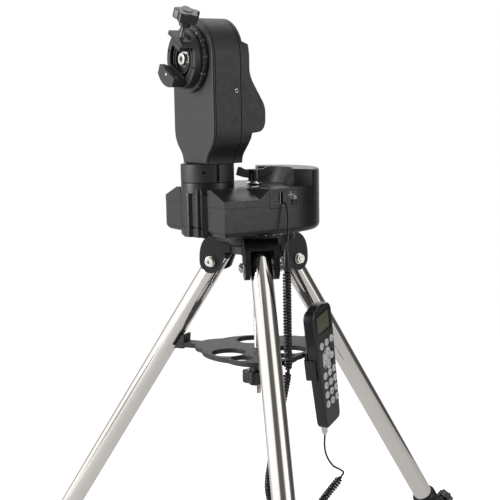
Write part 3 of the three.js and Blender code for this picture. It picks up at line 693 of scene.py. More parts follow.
def azimuth_dial():
    """The dial's ring with a mark every five degrees, broad at every ten."""
    ease = 0.5
    profile = [
        (DIAL_BORE, DIAL_BOTTOM),
        (DIAL_RADIUS - ease, DIAL_BOTTOM),
        (DIAL_RADIUS, DIAL_BOTTOM + ease),
        (DIAL_RADIUS, DIAL_TOP - ease),
        (DIAL_RADIUS - ease, DIAL_TOP),
        (DIAL_BORE, DIAL_TOP),
    ]
    finish(lathe(profile, 180), "azimuth_dial_ring", "tripod_hub", SHELL_BLACK, stands_for="azimuth_dial")
    marks = []
    for i in range(DIAL_MARKS):
        half, low = (1.25, 0.9) if i % 2 == 0 else (0.3, 1.8)
        mark = block(DIAL_RADIUS - 0.3, DIAL_RADIUS + 0.12, -half, half, DIAL_BOTTOM + low, DIAL_TOP - 0.5)
        marks.append(placed(mark, turned_by(tau * i / DIAL_MARKS)))
    finish(grouped(*marks), "azimuth_dial_marks", "tripod_hub", INK_WHITE)


def centre_rod():
    """A threaded rod: each ring of the mesh is cut to the thread's depth at its own angle."""
    low, high = span("centre_rod")
    pitch, depth, sides, per_turn = 1.5, 0.55, 24, 6
    rows = round((high.z - low.z) / pitch * per_turn)
    points, faces = [], []
    for row in range(rows + 1):
        z = low.z + (high.z - low.z) * row / rows
        for i in range(sides):
            turn = tau * i / sides
            phase = (z / pitch - i / sides) % 1
            radius = ROD_RADIUS - depth * abs(2 * phase - 1) * min(1, row / 4 + 0.2)
            points.append((radius * cos(turn), radius * sin(turn), z))
    for row in range(rows):
        for i in range(sides):
            j = (i + 1) % sides
            here, above = row * sides, (row + 1) * sides
            faces.append([here + i, here + j, above + j, above + i])
    faces += [list(range(sides))[::-1], [rows * sides + i for i in range(sides)]]
    finish(solid(points, faces), "centre_rod_thread", "tripod_hub", BRIGHT_STEEL, stands_for="centre_rod")


def pivot_bolt(leg):
    """A socket screw through both ears, with a washer at each end and a nut."""
    face = EAR_OUTER + GAP
    washers = [rod_y(8.3, face, face + 1.2, 48, 0.3), rod_y(8.3, -face - 1.2, -face, 48, 0.3)]
    head = placed(socket_screw(6.8, 4.4, 30, 3), moved_by(0, face + 5.6), ALONG_Y)
    shank = rod_y(BOLT_RADIUS, -face - 7.5, face, 32, 0.6)
    nut = placed(hex_nut(13, -face - 6, -face - 1.2), ALONG_Y)
    place = turned_by(LEG_TURN[leg]) @ moved_by(PIVOT_RADIUS, 0, PIVOT_HEIGHT)
    screw = join(head, shank, nut, *washers)
    finish(screw, "pivot_screw_" + leg, "tripod_hub", BRIGHT_STEEL, place, "pivot_bolt_" + leg)


# ---------- legs: each in its own axes, with the pivot at the origin and the leg down -Z ----------

FOOT_CENTRE = -713.4
UPPER_TUBE = {"radius": 16, "bore": 14}
LOWER_TUBE = {"radius": 12.7, "bore": 11.2}


def leg_axes(leg):
    at = moved_by(PIVOT_RADIUS, 0, PIVOT_HEIGHT)
    return turned_by(LEG_TURN[leg]) @ at @ turned_by(-LEG_SPLAY, "Y")


def leg_span(node, leg):
    """Lowest and highest reach of a CAD node in its leg's own axes."""
    axes = leg_axes(leg)
    low, high = span(node, axes.to_3x3())
    start = axes.to_3x3().transposed() @ axes.translation
    return low - start, high - start


def tube(radius, bore, z0, z1):
    lip = 0.5
    outside = [(radius - lip, z0), (radius, z0 + lip), (radius, z1 - lip), (radius - lip, z1)]
    return lathe([(bore, z0), *outside, (bore, z1)], 128)


def pivot_hole():
    return rod_y(BOLT_HOLE, -30, 30, 32)


def tube_ends(leg):
    low, high = leg_span("upper_tube_" + leg, leg)
    return low.z, high.z


def leg_head(leg, axes):
    """The plug in the tube's upper end, with its rounded cap and the bolt's hole."""
    low, high = leg_span("leg_head_" + leg, leg)
    base = tube_ends(leg)[1] + GAP
    plug = [(0, low.z), (13.2, low.z), (13.7, low.z + 0.5), (13.7, base)]
    cap = [(15.6, base), (16, base + 0.4), (16, base + 3)]
    cap += bezier([(16, base + 3), (15.5, high.z - 2.5), (11, high.z), (0, high.z)], 8)
    shape = cut(lathe([*plug, *cap], 96), pivot_hole())
    finish(shape, "leg_cap_" + leg, "leg_" + leg, TRIPOD_BLACK, axes, "leg_head_" + leg)


def leg_clamp(leg, axes):
    """The split sleeve between the tubes, with three grooves round it and a lug for the lock screw."""
    low, high = leg_span("leg_clamp_" + leg, leg)
    guide, socket, wall = 13, 16.3, 20.5
    groove, groove_pitch = 0.9, 3.6
    seat = tube_ends(leg)[0] - GAP
    body = [(guide, low.z), (16.4, low.z), (17, low.z + 0.8), (19.6, low.z + 14), (wall, low.z + 20)]
    for i in range(3):
        at = high.z - 12 + groove_pitch * i
        body += [(wall, at - 1.6), (wall - groove, at - 1), (wall - groove, at + 1), (wall, at + 1.6)]
    body += [(19.2, high.z - 1), (18.2, high.z), (socket, high.z), (socket, seat), (guide, seat)]
    knob_low, knob_high = leg_span("lock_knob_" + leg, leg)
    at = (knob_low.z + knob_high.z) / 2
    lug = eased(block(15, 28, -8, 8, at - 12, at + 12), 2, 4)
    slit = block(12, 40, -0.9, 0.9, low.z - 1, at + 16)
    hole = placed(rod_x(3.3, 5, 40, 32), moved_by(0, 0, at))
    bore = rod(guide, low.z - 5, seat, 96)
    clamp = cut(join(lathe(body, 96), cut(lug, bore)), slit, hole)
    finish(clamp, "leg_clamp_body_" + leg, "leg_" + leg, TRIPOD_BLACK, axes, "leg_clamp_" + leg)


def lock_knob(leg, axes):
    low, high = leg_span("lock_knob_" + leg, leg)
    at = (low.z + high.z) / 2
    grip = eased(placed(prism(lobed(6, 14, 4), high.x - 13, high.x), ALONG_X), 1.6, 4)
    boss = rod_x(7.5, high.x - 14, high.x + 1.2, 48, ease=0.8)
    dimple = rod_x(4.2, high.x + 0.3, high.x + 5, 32)
    knob = placed(cut(join(grip, boss), dimple), moved_by(0, 0, at))
    finish(knob, "lock_grip_" + leg, "lock_knob_" + leg, KNOB_BLACK, axes, "lock_knob_" + leg)
    screw = placed(rod_x(3, low.x, high.x - 12, 32, ease=0.4), moved_by(0, 0, at))
    finish(screw, "lock_screw_" + leg, "lock_knob_" + leg, BRIGHT_STEEL, axes)


def foot(leg, axes):
    """A ringed rubber boot on the lower tube, with a ball end that is flat where it meets the ground."""
    high = leg_span("foot_" + leg, leg)[1]
    tube_end = leg_span("lower_tube_" + leg, leg)[0].z - GAP
    centre, ball, groove_pitch = FOOT_CENTRE, 14, 8
    profile = [(0, tube_end), (13, tube_end), (13, high.z), (14.8, high.z), (15.5, high.z - 0.7)]
    groove = high.z - 10
    while groove > centre + ball:
        profile += [(15.6, groove + 1.4), (14.7, groove + 0.8), (14.7, groove - 0.8), (15.6, groove - 1.4)]
        groove -= groove_pitch
    profile.append((16, centre + 8))
    profile += [(ball * cos(a), centre - ball * sin(a)) for a in quarter(12)[:-1]]
    profile.append((0, centre - ball))
    level = moved_by(0, 0, GROUND - PIVOT_HEIGHT)
    ground = placed(block(-90, 90, -90, 90, -50, 0), turned_by(LEG_SPLAY, "Y"), level)
    shape = cut(lathe(profile, 80), ground)
    finish(shape, "rubber_foot_" + leg, "lower_leg_" + leg, RUBBER, axes, "foot_" + leg)


def legs():
    for leg in LEGS:
        axes = leg_axes(leg)
        pivot_bolt(leg)
        leg_head(leg, axes)
        bottom, top = tube_ends(leg)
        upper = cut(tube(**UPPER_TUBE, z0=bottom, z1=top), pivot_hole())
        finish(upper, "polished_tube_" + leg, "leg_" + leg, TUBE_STEEL, axes, "upper_tube_" + leg)
        leg_clamp(leg, axes)
        lock_knob(leg, axes)
        low, high = leg_span("lower_tube_" + leg, leg)
        inner = tube(**LOWER_TUBE, z0=low.z, z1=high.z)
        finish(inner, "inner_tube_" + leg, "lower_leg_" + leg, TUBE_STEEL, axes, "lower_tube_" + leg)
        foot(leg, axes)


# ---------- accessory tray ----------

TRAY_WALL = 2.4
BAR_HALF_WIDTH = 12
LARGE_HOLE = {"radius": 25.5, "reach": 53, "turn": pi / 3}
SMALL_HOLE = {"radius": 16, "reach": 72.6, "turn": radians(25.4)}
CUP_OUTLINE = [(119, 62), (135.5, 62), (121.5, 83), (117.5, 83)]
TRAY_LOBES = {"near": (46, 55), "left": (60, 40), "right": (60, 40)}


def tray_plan(inset, z0, z1):
    """The tray's outline, drawn in by the inset, as a plate between two heights."""
    plate = rod(84 - inset, z0, z1, 128)
    arms = []
    for leg in LEGS:
        turn = turned_by(LEG_TURN[leg])
        reach, radius = TRAY_LOBES[leg]
        half = BAR_HALF_WIDTH - inset
        arms.append(placed(rod(radius - inset, z0, z1, 96), turn, moved_by(reach)))
        arms.append(placed(block(80, 124 - inset, -half, half, z0, z1), turn))
    return join(plate, *arms)


def tray_holes(grown, z0, z1):
    """Three large eyepiece holes between the legs, and two small ones beside the near leg."""
    places = [(LARGE_HOLE, LEG_TURN[leg] + LARGE_HOLE["turn"], 96) for leg in LEGS]
    places += [(SMALL_HOLE, LEG_TURN["near"] + side * SMALL_HOLE["turn"], 80) for side in (-1, 1)]
    holes = []
    for hole, turn, sides in places:
        centre = turned_by(turn) @ Vector((hole["reach"], 0, 0))
        holes.append(placed(rod(hole["radius"] + grown, z0, z1, sides), moved_by(*centre)))
    return holes


def holder_notch():
    """The room that the tray's rim leaves for the hand controller's holder."""
    return placed(block(-14.6, 60, -34, 34, -60, 60), HANDSET_AXES)


def accessory_tray():
    """A thin moulding with ribs under it, a boss on the rod and a cup that meets each leg."""
    tray = tray_plan(0, TRAY_BOTTOM, TRAY_TOP)
    hollow = tray_plan(TRAY_WALL, TRAY_BOTTOM - 1, TRAY_TOP - TRAY_WALL)
    hollow = cut(hollow, *tray_holes(TRAY_WALL, 0, 100))
    hollow = cut(hollow, rod(18, 0, 100, 64), placed(block(-17, 60, -37, 37, -60, 60), HANDSET_AXES))
    turns = [LEG_TURN[leg] + side for leg in LEGS for side in (-0.35, 0, 0.35)]
    hollow = cut(hollow, *[placed(block(10, 90, -1, 1, 0, 100), turned_by(turn)) for turn in turns])
    cups = [placed(prism_y(CUP_OUTLINE, -12.4, 12.4), turned_by(LEG_TURN[leg])) for leg in LEGS]
    legs_room = [placed(rod(16.6, -300, 0, 96), leg_axes(leg)) for leg in LEGS]
    tray = join(cut(tray, hollow), rod(13, 50, TRAY_BOTTOM + 1, 64), *cups)
    tray = cut(tray, *tray_holes(0, 0, 100), *legs_room, rod(ROD_HOLE, 0, 100, 48), holder_notch())
    finish(eased(tray, 0.6, 2), "tray_moulding", "tray", TRAY_PAINTED_LIT_TOP, stands_for="accessory_tray")
    knob_top = TRAY_KNOB[1].z
    bush = join(rod(9, knob_top + 0.4, knob_top + 2, 48, ease=0.3), rod(6.4, knob_top + 1, 49.7, 48))
    finish(cut(bush, rod(ROD_HOLE, 0, 100, 48)), "tray_bush", "tray", BRIGHT_STEEL)


def tray_knob():
    low, high = TRAY_KNOB
    grip = eased(prism(lobed(5, 23, 6), low.z, high.z - 7), 2.2, 4)
    neck = rod(12, high.z - 9, high.z, 64, ease=1)
    recess = lathe([(0, low.z - 1), (10, low.z - 1), (9, low.z + 4), (0, low.z + 4)], 64)
    knob = cut(join(grip, neck), recess, rod(ROD_HOLE, 0, 60, 48))
    finish(knob, "tray_knob_grip", "tray_knob", KNOB_BLACK, stands_for="tray_knob")


# ---------- base ----------


def base_outline(inset=0, steps=64):
    """The base seen from above: square at the swivel end and half round at the battery end."""
    half = BASE_HALF_WIDTH - inset
    drum = arc(DRUM_CENTRE, 0, half, -90, 90, steps)
    return [(BASE_END + inset, -half), *drum, (BASE_END + inset, half)]


def rounded_base(z0, z1, low=0.0, high=0.0, inset=0.0):
    """The base between two heights, with its lower and upper rims rounded by the given radii."""
    levels = [(base_outline(inset), z0)]
    if low:
        levels = [(base_outline(inset + low * (1 - sin(a))), z0 + low * (1 - cos(a))) for a in quarter(5)]
    if high:
        levels += [(base_outline(inset + high * (1 - cos(a))), z1 - high * (1 - sin(a))) for a in quarter(5)]
    else:
        levels.append((base_outline(inset), z1))
    return lofted(levels)


COLUMN_INNER = span("end_block")[1].x
COLUMN_ROOM_END = -61
COLUMN_HALF_WIDTH = 38.9
SHAFT_HOLE = 10.3
RIM_EASE = 4
PANEL = span("control_panel")
LEVEL = span("bubble_level")
LEVEL_AT = moved_by((LEVEL[0].x + LEVEL[1].x) / 2, (LEVEL[0].y + LEVEL[1].y) / 2)


def column_room():
    half = COLUMN_HALF_WIDTH + GAP
    return block(-150, COLUMN_ROOM_END + GAP, -half, half, 200, 400)


def panel_room():
    low, high = PANEL
    return block(low.x - GAP, high.x + GAP, -95, -BASE_HALF_WIDTH + 2, low.z - GAP, high.z + GAP)


def lower_shell():
    shell = rounded_base(BASE_FLOOR, BASE_SEAM, low=9)
    room = prism(base_outline(SHELL), BASE_FLOOR + 7, BASE_SEAM + 5)
    shell = cut(shell, room, column_room(), rod(SHAFT_HOLE, 200, 300, 64), panel_room())
    finish(eased(shell, 0.45, 2), "base_lower_casing", "base", SHELL_BLACK, stands_for="base_lower_shell")


SHOULDER_START = 50
SHOULDER_DROP = 28
SHOULDER_X = (-46, -9)


def shoulder(side, lift=0.0):
    """What is cut away where the deck falls to the side, ramping out along the base."""
    level, top, out = DECK + lift, 380, 120
    low = level - SHOULDER_DROP
    near, far = SHOULDER_X
    points = []
    for x, drop in ((-150, low), (near, low), (far, level), (60, level)):
        points += [(x, SHOULDER_START, level), (x, out, drop), (x, out, top), (x, SHOULDER_START, top)]
    faces = [[0, 1, 2, 3], [12, 13, 14, 15]]
    for row in range(3):
        for i in range(4):
            j = (i + 1) % 4
            faces.append([row * 4 + i, row * 4 + j, row * 4 + 4 + j, row * 4 + 4 + i])
    room = solid(points, faces)
    return room if side > 0 else placed(room, Matrix.Scale(-1, 4, (0, 1, 0)))


def bowl(grown=0.0):
    return rod(48 + grown, DECK, RIM + 10, 128, 62 + grown)


def front_ramp(shift=0.0):
    """What is cut away in front of the battery cover, down to the deck."""
    low, top = DECK - shift, RIM + 14 - shift
    return prism_y([(-200, low), (22 + shift, low), (48 + shift, top), (-200, top)], -120, 120)


COVER_HALF_ANGLE = radians(64)


def cover_sector(clearance):
    reach = 300
    x = DRUM_CENTRE + clearance
    side = (x + reach * cos(COVER_HALF_ANGLE), reach * sin(COVER_HALF_ANGLE))
    return prism([(x, 0), (side[0], -side[1]), (x + reach, 0), side], BASE_SEAM - 2, RIM + 20)


def cover_space(clearance):
    return cut(cover_sector(clearance), rod(46 + clearance, BASE_SEAM - 10, DECK + 1, 128))


def deck():
    outer = rounded_base(BASE_SEAM + GAP, RIM, high=RIM_EASE)
    outer = cut(outer, front_ramp(), bowl(), shoulder(1), shoulder(-1))
    hollow = prism(base_outline(SHELL), BASE_SEAM - 1, DECK - SHELL)
    hollow = cut(hollow, shoulder(1, -SHELL), shoulder(-1, -SHELL))
    level_room = placed(rod(8, DECK - 1.6, DECK + 10, 64), LEVEL_AT)
    shaft_room = rod(SHAFT_HOLE, 280, 330, 64)
    outer = cut(outer, hollow, shaft_room, cover_space(-GAP), column_room(), panel_room(), level_room)
    finish(eased(outer, 0.6), "base_deck_casing", "base", SHELL_BLACK, stands_for="base_deck")


def battery_cover():
    """The lid over the battery end, with a latch's notch and a groove along each straight edge."""
    outer = rounded_base(BASE_SEAM + GAP, RIM, high=RIM_EASE)
    outer = common(cut(outer, front_ramp(), bowl()), cover_space(0))
    inside = prism(base_outline(SHELL), BASE_SEAM - 5, RIM - SHELL)
    inside = cut(inside, rod(46 + SHELL, BASE_SEAM - 10, DECK, 128), bowl(SHELL), front_ramp(SHELL))
    inside = common(inside, placed(cover_sector(2 * SHELL), moved_by(0, 0, -5)))
    latch = block(BASE[1].x - 2.2, BASE[1].x + 5, -9, 9, BASE_SEAM + 2, BASE_SEAM + 9)
    edges = []
    for side in (-1, 1):
        y0, y1 = sorted((-0.2 * side, -1.8 * side))
        edge = block(BASE_HALF_WIDTH - 2, 100, y0, y1, BASE_SEAM + 7, RIM + 5)
        edges.append(placed(edge, moved_by(DRUM_CENTRE), turned_by(side * COVER_HALF_ANGLE)))
    shape = eased(cut(outer, inside, latch, *edges), 0.6)
    finish(shape, "battery_cover_casing", "battery_cover", SHELL_BLACK, stands_for="battery_cover")


def battery_cells():
    """The holder, with its cells standing in an arc inside the drum."""
    low, high = span("battery_pack")
    wall = [*arc(0, 0, 52, -38, 38, 24), *arc(DRUM_CENTRE, 0, 78, 40, -40, 24)]
    holder = eased(prism(wall, low.z, low.z + 14), 0.8, 2)
    finish(holder, "battery_holder", "base", SHELL_BLACK, stands_for="battery_pack")
    cells = []
    cell_count, half_arc = 8, 31
    for i in range(cell_count):
        angle = radians(-half_arc + 2 * half_arc * i / (cell_count - 1))
        reach = 70 if i % 2 == 0 else 71.5
        centre = (reach * cos(angle), reach * sin(angle))
        body = rod(6.4, low.z + 14.2, high.z - 2, 40, ease=0.8)
        tip = rod(2.6, high.z - 2.4, high.z - 0.4, 24, ease=0.3)
        cells.append(placed(grouped(body, tip), moved_by(*centre)))
    finish(grouped(*cells), "battery_cells", "base", CELL_SLEEVE)


def end_block_outline():
    """The swivel column seen from above, with its rib down the middle and a groove beside it."""
    half = COLUMN_HALF_WIDTH
    nose = span("end_block")[0].x
    return [
        (COLUMN_INNER, -half), (COLUMN_INNER, half),
        (-104, half), (-105.5, 34), (-107, 29), (-108.2, 26), (-111.8, 22.5), (-112.6, 16), (-113, 11.5),
        (nose + 1.5, 8), (nose, 4), (nose, -4), (nose + 1.5, -8),
        (-112.5, -11.5), (-112.2, -20), (-111.6, -24), (-107.6, -26.5), (-107.2, -30.5), (-110, -33),
        (-104, -half),
    ]


def end_block():
    low, high = span("end_block")
    column = prism(end_block_outline(), low.z, DECK + GAP)
    slope = [(22, DECK + 2), (60, DECK - 24), (60, DECK + 9), (22, DECK + 9)]
    chamfers = [prism_x(slope, -140, -98), prism_x(mirrored(slope), -140, -98)]
    seam = block(-140, -102, -60, 60, low.z + 13.6, low.z + 14.3)
    groove = cut(seam, placed(prism(end_block_outline(), low.z + 10, low.z + 20), moved_by(0.7)))
    column = eased(cut(column, *chamfers, groove), 0.9)
    collar = placed(rod(COLLAR_RADIUS, DECK - 6, high.z, 128, ease=0.9), moved_by(SWIVEL.x))
    dial_room = rod(DIAL_RADIUS + 1, 200, BASE_FLOOR + GAP, 128)
    hole = placed(rod(POST_HOLE, 290, 400, 64), moved_by(SWIVEL.x))
    shape = cut(join(column, collar), dial_room, hole)
    finish(shape, "swivel_column", "base", SHELL_BLACK, stands_for="end_block")


def control_panel():
    """The panel let into the base's side: two sockets, the cord's plug, plain marks and a painted highlight
    beside the plug.
    """
    low, high = PANEL
    face = -BASE_HALF_WIDTH
    mark_back, mark_front = face - 0.3, face - 0.6
    plate = block(low.x, high.x, face - 0.4, face + 1.7, low.z, high.z)
    sockets = [
        block(-25, -12, face - 5, face + 1.2, 299, 312),
        block(7.5, 17.5, face - 5, face + 1.4, 293, 300),
    ]
    plate = eased(cut(plate, *sockets), 0.35, 2)
    finish(plate, "control_panel_plate", "base", SHELL_BLACK, stands_for="control_panel")
    boot = eased(block(-9.6, -3.2, face - 4.6, face - 0.6, 296, 312.5), 0.7, 3)
    finish(boot, "cord_plug", "base", CORD_BLACK)
    plug_highlight_and_bar = [
        # A painted highlight: a thin white line beside the plug, standing in for light caught on its edge.
        block(-11.6, -10.8, mark_front, mark_back, 296, 312),
        block(-10, -2, mark_front, mark_back, low.z + 2.2, low.z + 2.6),
    ]
    sun, dial = moved_by(6.8, mark_back, 308), moved_by(13.8, mark_back, 303.6)
    marks = [placed(lathe(ring(1.9, 1.2, 0.3), 24), sun, ALONG_Y)]
    for i in range(4):
        ray = block(2.6, 4.4, -0.5, 0.5, -0.3, 0)
        marks.append(placed(ray, sun, ALONG_Y, turned_by(tau * i / 4)))
    marks.append(placed(lathe(ring(2.5, 1.6, 0.3), 24), dial, ALONG_Y))
    marks.append(block(13.3, 14.3, mark_front, mark_back, 303.6, 307.2))
    finish(grouped(*plug_highlight_and_bar, *marks), "control_panel_marks_and_highlight", "base", INK_WHITE)


def ring(outer, inner, depth):
    """The profile of a flat ring whose face is at z = 0."""
    return [(inner, -depth), (outer, -depth), (outer, 0), (inner, 0)]


def power_switch():
    low, high = span("power_switch")
    waist = (low.y + 1.8, (low.z + high.z) / 2)
    outline = [(low.y, low.z), waist, (low.y, high.z), (high.y, high.z), (high.y, low.z)]
    rocker = eased(prism_x(outline, low.x, high.x), 0.3, 3)
    finish(rocker, "rocker", "power_switch", KNOB_BLACK, stands_for="power_switch")


def bubble_level():
    low, high = LEVEL
    top = high.z
    wall = [(7.6, low.z), (7.6, top - 1.4), (7.1, top - 0.9), (5.2, top - 0.9), (5.2, top - 2.6)]
    cup = lathe([(0, low.z), *wall, (0, top - 2.6)], 64)
    finish(placed(cup, LEVEL_AT), "level_cup", "base", SHELL_BLACK, stands_for="bubble_level")
    vial = lathe([(0, top - 2.5), (5.1, top - 2.5), (5.1, top - 0.9), (3.6, top - 0.25), (0, top)], 64)
    finish(placed(vial, LEVEL_AT), "level_vial", "base", VIAL_GREEN)
    circle = placed(lathe(ring(2.4, 2.1, 0.05), 48), LEVEL_AT, moved_by(z=top + 0.02))
    finish(circle, "level_ring", "base", INK_DARK)


WING_TURN = radians(-20)


def wing_knob():
    """The azimuth clutch knob: two thin wings on a fluted hub."""
    low, high = span("azimuth_clutch_knob")
    half = 27.5
    dip = (half - 8, high.z - 0.6)
    under = bezier([(9, 328), (17, 328.5), (half, 333)], 6)
    wing = [*under, (half - 3.5, high.z), dip, *bezier([dip, (14, 340), (9, 341)], 6)]
    outline = [(-9, 328), (9, 328), *wing, *mirrored(wing)]
    wings = eased(prism_y(outline, -3.5, 3.5), 1.3, 4)
    hub = rod(9, 323, 340.5, 64, ease=1.2)
    flutes = [placed(rod(1.6, 322, 335, 24), turned_by(tau * i / 12), moved_by(9.6)) for i in range(12)]
    knob = placed(cut(join(wings, hub), *flutes), turned_by(WING_TURN))
    finish(knob, "wing_grip", "azimuth_clutch_knob", KNOB_BLACK, stands_for="azimuth_clutch_knob")
    washer = join(rod(12, low.z, 321.2, 64, ease=0.4), rod(8, 321, 323.4, 48))
    finish(washer, "wing_washer", "azimuth_clutch_knob", BRIGHT_STEEL)


# ---------- arm ----------

EYELET = moved_by(-63, -ARM_HALF_WIDTH, 455.7)
ARM_SHAFT_HOLE = 14.3
COVER_BACK = -41


def arm_outline(inset=0.0):
    """The arm seen along X: a narrow neck, curved shoulders and a round top."""
    half, neck, low = ARM_HALF_WIDTH - inset, 33.5 - inset, ARM_BOTTOM + inset
    curve = bezier([(neck, low), (neck + 1, low + 22), (half, low + 18), (half, low + 50)], 20)
    dome = arc(0, ALTITUDE.z, half, 0, 180, 72)
    right = [(neck, low), *curve]
    return [(-neck, low), *right, *dome, *mirrored(right[1:])]


def shaft_bore(radius):
    return placed(rod_x(radius, -200, 60, 64), moved_by(0, 0, ALTITUDE.z))


def arm_front_cover():
    low, high = span("arm_front_cover")
    ease = 2.2
    levels = [(arm_outline(ease * (1 - sin(a))), low.x + ease * (1 - cos(a))) for a in quarter(5)]
    levels.append((arm_outline(), high.x - 0.4))
    levels.append((arm_outline(0.5), high.x))
    plate = placed(lofted(levels), YZ_TO_X)
    finish(cut(plate, shaft_bore(30)), "arm_front_plate", "arm", PAINT_BLACK, stands_for="arm_front_cover")


def arm_body():
    """The arm's casting between its two covers, with a steel eyelet in its side."""
    low, high = ARM
    lip = 0.7
    levels = [
        (arm_outline(lip), low.x),
        (arm_outline(0), low.x + lip),
        (arm_outline(0), high.x - lip),
        (arm_outline(lip), high.x),
    ]
    body = placed(lofted(levels), YZ_TO_X)
    room = prism_x(arm_outline(5), low.x + 5, high.x + 5)
    post = placed(rod(POST_HOLE, 340, 375, 48), moved_by(SWIVEL.x))
    side_hole = placed(rod_y(2.9, -2, 2, 32), EYELET)
    body = cut(body, room, shaft_bore(ARM_SHAFT_HOLE), post, side_hole)
    finish(body, "arm_casting", "arm", PAINT_BLACK, stands_for="arm_body")
    eyelet = lathe([(1.5, -1.4), (2.8, -1.4), (2.8, 0.25), (2.2, 0.45), (1.5, 0.1)], 40)
    finish(placed(eyelet, EYELET, turned_by(pi / 2, "X")), "arm_side_eyelet", "arm", BRIGHT_STEEL)


def rear_outline(inset=0.0):
    """The rear cover seen along Y: upright at the top, with a hump low down at the back."""
    hump = span("arm_rear_cover")[1].x - inset
    back = COVER_BACK - inset
    bottom = ARM_BOTTOM - 5 + 5 * inset
    points = [(ARM_SEAM_REAR, bottom), (back, bottom)]
    ledge = 396 + inset
    points += [(back, 376), *bezier([(back, 376), (back + 0.6, 384), (-38.5 - inset, 390)], 4)]
    points += [(-38 - inset, ledge), (-26 - inset, ledge + 1.5)]
    points += bezier([(-26 - inset, ledge + 1.5), (-19 - inset, ledge + 3), (hump, 407), (hump, 416)], 8)
    points += [(hump, 426)]
    points += bezier([(hump, 426), (hump - 0.5, 434), (-19.5 - inset, 440)], 5)
    points += [(-35.5 - inset, 467)]
    points += bezier([(-35.5 - inset, 467), (back + 1, 476), (back, 484)], 5)
    points += [(back, 520 - inset), (-50, 524 - inset), (-50, 570), (ARM_SEAM_REAR, 570)]
    return points


def arm_rear_cover():
    low = span("arm_rear_cover")[0]
    silhouette = prism_x(arm_outline(), low.x, 0)
    outer = eased(common(silhouette, prism_y(rear_outline(), -80, 80)), 2, 4)
    room = common(prism_x(arm_outline(4), low.x - 5, 0), prism_y(rear_outline(3), -80, 80))
    room = cut(room, block(-60, 0, -90, 90, 300, ARM_BOTTOM + 8))
    mouth = block(low.x - 6, low.x + 0.5, -53, 53, 362, 550)
    step = cut(
        prism_x([(-90, 390.6), (90, 390.6), (90, 391.8), (-90, 391.8)], low.x + 4, 0),
        prism_x(arm_outline(0.8), low.x, 5),
    )
    shape = cut(outer, room, mouth, step)
    finish(shape, "arm_rear_casing", "arm", PAINT_BLACK, stands_for="arm_rear_cover")
    places = [moved_by(COVER_BACK + 0.8, y, z) for y, z in ((-40, 470), (40, 470), (-24, 366), (24, 366))]
    screws = [placed(socket_screw(3.2, 1.8, 5, 1.5), place, ALONG_X) for place in places]
    finish(grouped(*screws), "arm_rear_screws", "arm", BRIGHT_STEEL)


def arm_collar():
    """The swivel's collar with its post, split on one side and slit on the other."""
    bottom, top = LOWER_COLLAR_TOP + GAP, ARM_BOTTOM - 0.5
    band = rod(COLLAR_RADIUS, bottom, top, 128, ease=0.9)
    post = join(rod(POST_RADIUS, 292, 330, 64, ease=1), rod(POST_RADIUS, 350, 372, 64, ease=1))
    grub_at = (bottom + top) / 2 + 2
    grub_turn = turned_by(radians(-38))
    grub = placed(rod_y(2.6, -60, -30, 32), grub_turn, moved_by(0, 0, grub_at))
    split = block(-2.2, 2.2, -60, -COLLAR_RADIUS + 4, bottom + 1, top + 5)
    split = placed(split, turned_by(radians(-8)))
    slits = []
    for height in (7, 13):
        slit = block(20, 60, -60, -2, bottom + height, bottom + height + 1)
        slits.append(cut(slit, rod(34, bottom - 1, top + 1, 96)))
    shape = placed(cut(join(band, post), grub, split, *slits), moved_by(SWIVEL.x))
    finish(shape, "swivel_collar", "arm", PAINT_BLACK, stands_for="arm_collar")
    face = moved_by(0, -COLLAR_RADIUS + 2.5, grub_at) @ turned_by(pi / 2, "X")
    screw = placed(socket_screw(2.4, 2, 5, 1.3), moved_by(SWIVEL.x), grub_turn, face)
    finish(screw, "swivel_grub_screw", "arm", DARK_HOLE)


# ---------- saddle: its own axes run along X, with the clamp screw up +Z ----------

CLAMP_UP = -joint_axis("clamp_pad_slide")
SADDLE_TILT = atan2(-CLAMP_UP.y, CLAMP_UP.z)
SADDLE_AXES = moved_by(0, 0, ALTITUDE.z) @ turned_by(SADDLE_TILT, "X")
CLAMP_SCREW = moved_by(-128, -5, 0)
SCALE_MARKS = 36
SADDLE_RIM = 46.5
SADDLE_RIM_FACE = -108
SADDLE_DISC = 41
SADDLE_FACE = -119
JAW_FACE = -138


def saddle_body():
    """The disc with its rim, a deep pocket with ridges, and the two jaws that hold a dovetail bar."""
    rim = rod_x(SADDLE_RIM, SADDLE_RIM_FACE, -101.3, 160, ease=0.9)
    disc = rod_x(SADDLE_DISC, SADDLE_FACE, SADDLE_RIM_FACE + 1, 160, ease=0.8)
    hub = rod_x(24, -101.5, -98, 96)
    fixed = common(rod_x(39, JAW_FACE, SADDLE_FACE + 1, 128), block(-140, -117.5, -24, 22, -60, -18))
    undercut = prism_y([(-130, -17.9), (-122, -21.5), (-122, -10), (-130, -10)], -30, 30)
    fixed = eased(cut(fixed, undercut), 0.7)
    screw_jaw = rod_x(SADDLE_DISC, JAW_FACE, SADDLE_FACE + 1, 128)
    screw_jaw = eased(common(screw_jaw, block(-140, -117.5, -29, 17, 30, 36)), 0.7)
    disc = cut(disc, rod_x(31, -125, -112, 128))
    lip = cut(rod_x(33, -119.8, -118.6, 128), rod_x(30.4, -125, -110, 128))
    ridges = [cut(rod_x(r, -116.6, -111.5, 96), rod_x(r - 1.6, -120, -110, 96)) for r in (26, 20.5)]
    body = join(disc, rim, hub, lip, *ridges, fixed, screw_jaw)
    cuts = [
        rod_x(6.3, -140, -90, 48),
        placed(rod(3.3, 20, 60, 32), CLAMP_SCREW),
        placed(rod(1.8, -40, -17, 32), moved_by(-131, -12)),
    ]
    for i in range(6):
        cuts.append(placed(rod_x(2.1, -122, -116, 24), turned_by(tau * i / 6 + 0.4, "X"), moved_by(0, 0, 37)))
    finish(cut(body, *cuts), "saddle_casting", "saddle", PAINT_BLACK, SADDLE_AXES, "saddle")


